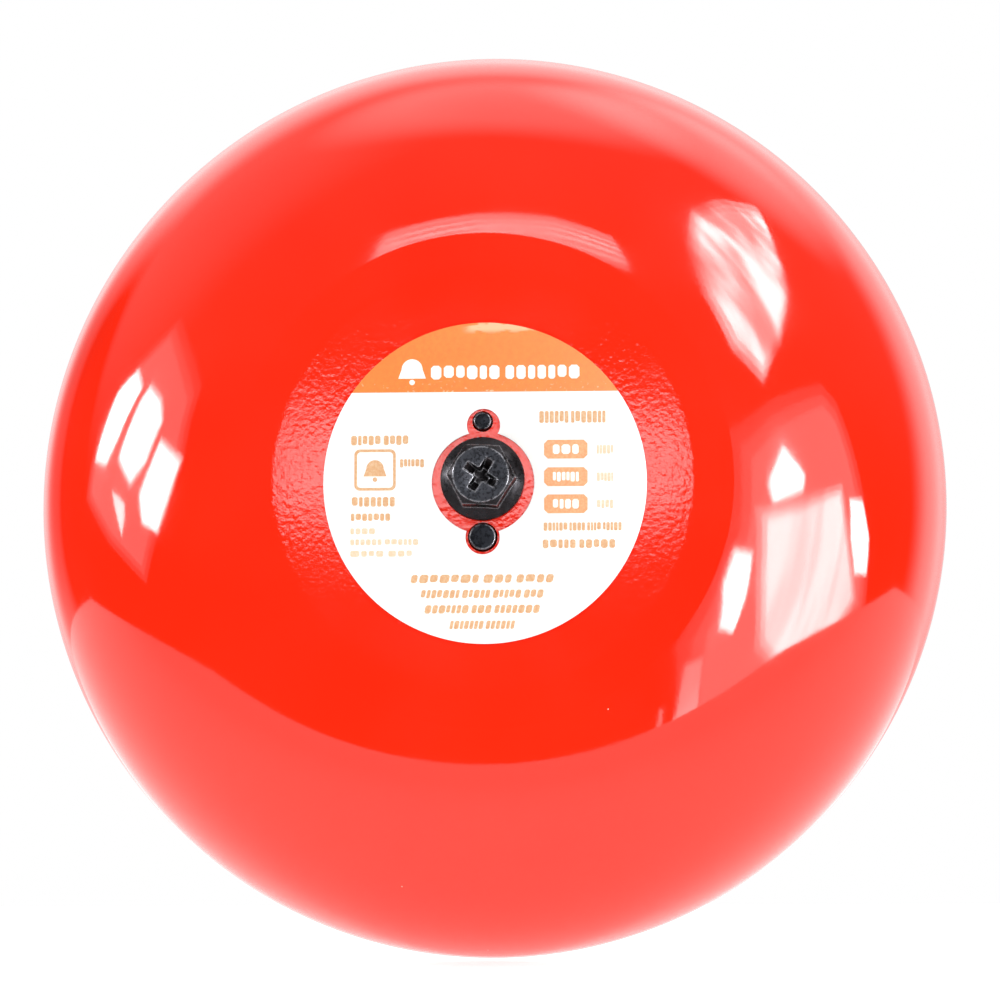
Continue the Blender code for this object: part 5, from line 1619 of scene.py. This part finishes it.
def direction(azimuth, elevation):
    """The way to a place in the room: azimuth 0 is straight ahead of the bell, and + is to its right."""
    a, e = math.radians(azimuth), math.radians(elevation)
    return Vector((math.sin(a) * math.cos(e), -math.cos(a) * math.cos(e), math.sin(e)))


def make_camera():
    data = bpy.data.cameras.new("camera")
    data.lens = CAMERA_LENS
    data.shift_x, data.shift_y = CAMERA_SHIFT
    data.clip_start, data.clip_end = 0.05, 50
    camera = bpy.data.objects.new("camera", data)
    back = direction(*CAMERA_WAY)
    camera.location = AIM + back * CAMERA_DISTANCE
    camera.rotation_euler = back.to_track_quat("Z", "Y").to_euler()
    bpy.context.scene.collection.objects.link(camera)
    bpy.context.scene.camera = camera


def glow(strength, streaks=0.0):
    """A light's surface, with vertical streaks of that depth."""
    material = bpy.data.materials.new("glow")
    material.use_nodes = True
    nodes = Nodes(material.node_tree)
    nodes.tree.nodes.clear()
    way = nodes.add("Mapping", Vector=nodes.add("TexCoord").outputs["Object"], Scale=(1, 1, 0.3))
    noise = nodes.add("TexNoise", Vector=way.outputs["Vector"], Scale=2.5, Detail=2.0).outputs["Fac"]
    level = nodes.span(noise, 0.35, 0.65, strength * (1 - streaks), strength)
    shader = nodes.add("Emission", Strength=level)
    nodes.tree.links.new(shader.outputs[0], nodes.add("OutputMaterial").inputs["Surface"])
    return material


def pane(name, corners, strength, distance=ROOM_DISTANCE, streaks=0.0):
    """A bright or dark surface in the room that only gloss shows. Its corners are (azimuth, elevation)."""
    bm = bmesh.new()
    bm.faces.new([bm.verts.new(AIM + direction(*corner) * distance) for corner in corners])
    bmesh.ops.triangulate(bm, faces=bm.faces)
    bmesh.ops.subdivide_edges(bm, edges=bm.edges, cuts=4, use_grid_fill=True)
    for vert in bm.verts:
        vert.co = AIM + (vert.co - AIM).normalized() * distance
    obj = finish_mesh(name, bm, glow(strength, streaks), body=None)
    obj.visible_camera = False
    obj.visible_diffuse = False
    obj.visible_shadow = False
    obj.visible_transmission = False


def shrunk(corners, share):
    """The outline drawn in towards its middle."""
    middle = [sum(c[k] for c in corners) / len(corners) for k in (0, 1)]
    return [tuple(m + (c - m) * share for c, m in zip(corner, middle)) for corner in corners]


def soft_pane(name, corners, strength, distance=ROOM_DISTANCE, streaks=0.0):
    """A pane with a dimmer border, as a curtain gives it."""
    for i, (share, level) in enumerate(((1.0, 0.3), (0.93, 0.6), (0.86, 1.0))):
        pane(f"{name}_{i}", shrunk(corners, share), strength * level, distance - 0.02 * i, streaks)


def make_window(name, outline, dim, panes):
    """A dim window with brighter panes in it, each with its strength."""
    soft_pane(name, outline, dim)
    for i, (strength, corners) in enumerate(panes):
        soft_pane(f"{name}_pane_{i}", corners, strength, NEARER - 0.08 * i, streaks=0.25)


def make_lights():
    """Windows that only the gloss shows, and a soft panel that only lights the surfaces."""
    make_window("left_window", LEFT_WINDOW, 2.5, LEFT_PANES)
    make_window("right_window", RIGHT_WINDOW, 3.0, RIGHT_PANES)
    soft_pane("upper_window", UPPER_WINDOW, 26, streaks=0.75)
    pane("blind", blind_slat(25, 5.4), 3.2)
    for i, strength in enumerate(SLATS):
        pane(f"slat_{i}", blind_slat(25.9 + 0.9 * i, 0.42), strength, NEARER)
    pane("shelf_shade", shelf_strip(6.6, 8.8), 2.0)
    pane("shelf", shelf_strip(7.1, 8.3), 6.0, NEARER)
    fill("front_fill", 10, 35, 60, 0.45)


def blind_slat(foot, height):
    """The outline of one slat of the blind above the bell, which bows up in the middle."""
    low = [(-12.5, foot - 2), (-4, foot), (3, foot + 0.4), (9, foot - 1)]
    return low + [(azimuth, elevation + height) for azimuth, elevation in reversed(low)]


def shelf_strip(foot, top):
    """The outline of a strip across the room, just above the bell's height."""
    return [(-7, foot), (0.6, foot), (0.6, top), (-7, top)]


def fill(name, azimuth, elevation, width, strength):
    """A soft square light, as wide as that many degrees, which gloss doesn't show."""
    light = bpy.data.lights.new(name, "AREA")
    light.size = 2 * ROOM_DISTANCE * math.tan(math.radians(width / 2))
    light.energy = strength * math.pi * light.size**2
    obj = bpy.data.objects.new(name, light)
    way = direction(azimuth, elevation)
    obj.location = AIM + way * ROOM_DISTANCE
    obj.rotation_euler = way.to_track_quat("Z", "Y").to_euler()
    bpy.context.scene.collection.objects.link(obj)
    obj.visible_camera = False
    obj.visible_glossy = False


def make_world():
    """White to the camera and to matt surfaces; to glossy ones, dark ahead, pale behind and overhead."""
    world = bpy.data.worlds.new("room")
    bpy.context.scene.world = world
    world.use_nodes = True
    room = Nodes(world.node_tree)
    way = room.add("SeparateXYZ", Vector=room.add("TexCoord").outputs["Generated"])
    ahead = room.span(way.outputs["Z"], -0.05, 0.85, 0.05, 0.32)
    overhead = room.span(way.outputs["Z"], 0.88, 0.98, 0.0, 1.7)
    rear = room.span(way.outputs["Y"], 0.25, 0.6)
    straight_back = room.span(way.outputs["Y"], 0.8, 0.97, 1.8, 0.85)
    gloss = room.blend(rear, room.maths("ADD", ahead, overhead), straight_back)
    for azimuth, elevation, reach, level in ROOM_PATCHES:
        towards = room.dot(room.add("TexCoord").outputs["Generated"], direction(azimuth, elevation))
        gloss = room.maths("ADD", gloss, room.span(towards, reach, 1.0, 0.0, level))
    gloss = room.maths("MAXIMUM", gloss, 0.05)
    ray = room.add("LightPath")
    strength = room.blend(ray.outputs["Is Diffuse Ray"], 1.0, 1.2)
    strength = room.blend(ray.outputs["Is Glossy Ray"], strength, gloss)
    background = world.node_tree.nodes["Background"]
    room.plug(background.inputs["Color"], (1, 1, 1, 1))
    room.plug(background.inputs["Strength"], strength)


def make_floor():
    """A pale board under the bell: it slopes down to the front, and is level from just behind the bell."""
    bm = bmesh.new()
    slope = math.tan(FLOOR_TILT)
    rows = []
    for y in (-FLOOR_REACH, FLOOR_BEND, FLOOR_REACH):
        height = FLOOR_HEIGHT + slope * (min(y, FLOOR_BEND) - FLOOR_LINE)
        rows.append([bm.verts.new((x, y, height)) for x in (-FLOOR_HALF_WIDTH, FLOOR_HALF_WIDTH)])
    for near, far in zip(rows, rows[1:]):
        bm.faces.new((near[0], near[1], far[1], far[0]))
    finish_mesh("studio_floor", bm, plain_floor(), body=None)


def make_everything():
    for make in (
        make_gong,
        make_label,
        make_print,
        make_bolt,
        make_pins,
        make_cushion,
        make_chassis,
        make_wall_plate,
        make_grommet,
        make_screws,
        make_standoffs,
        make_board,
        make_tracks,
        make_silk,
        make_terminal_block,
        make_bridge,
        make_capacitor,
        make_varistor,
        make_resistor,
        make_leads,
        make_motor_case,
        make_motor_inside,
        make_rotor,
        make_wheel,
        make_hammer,
        make_spring,
        make_floor,
        make_camera,
        make_lights,
        make_world,
    ):
        make()
    bpy.context.scene.view_settings.view_transform = "Standard"


make_everything()
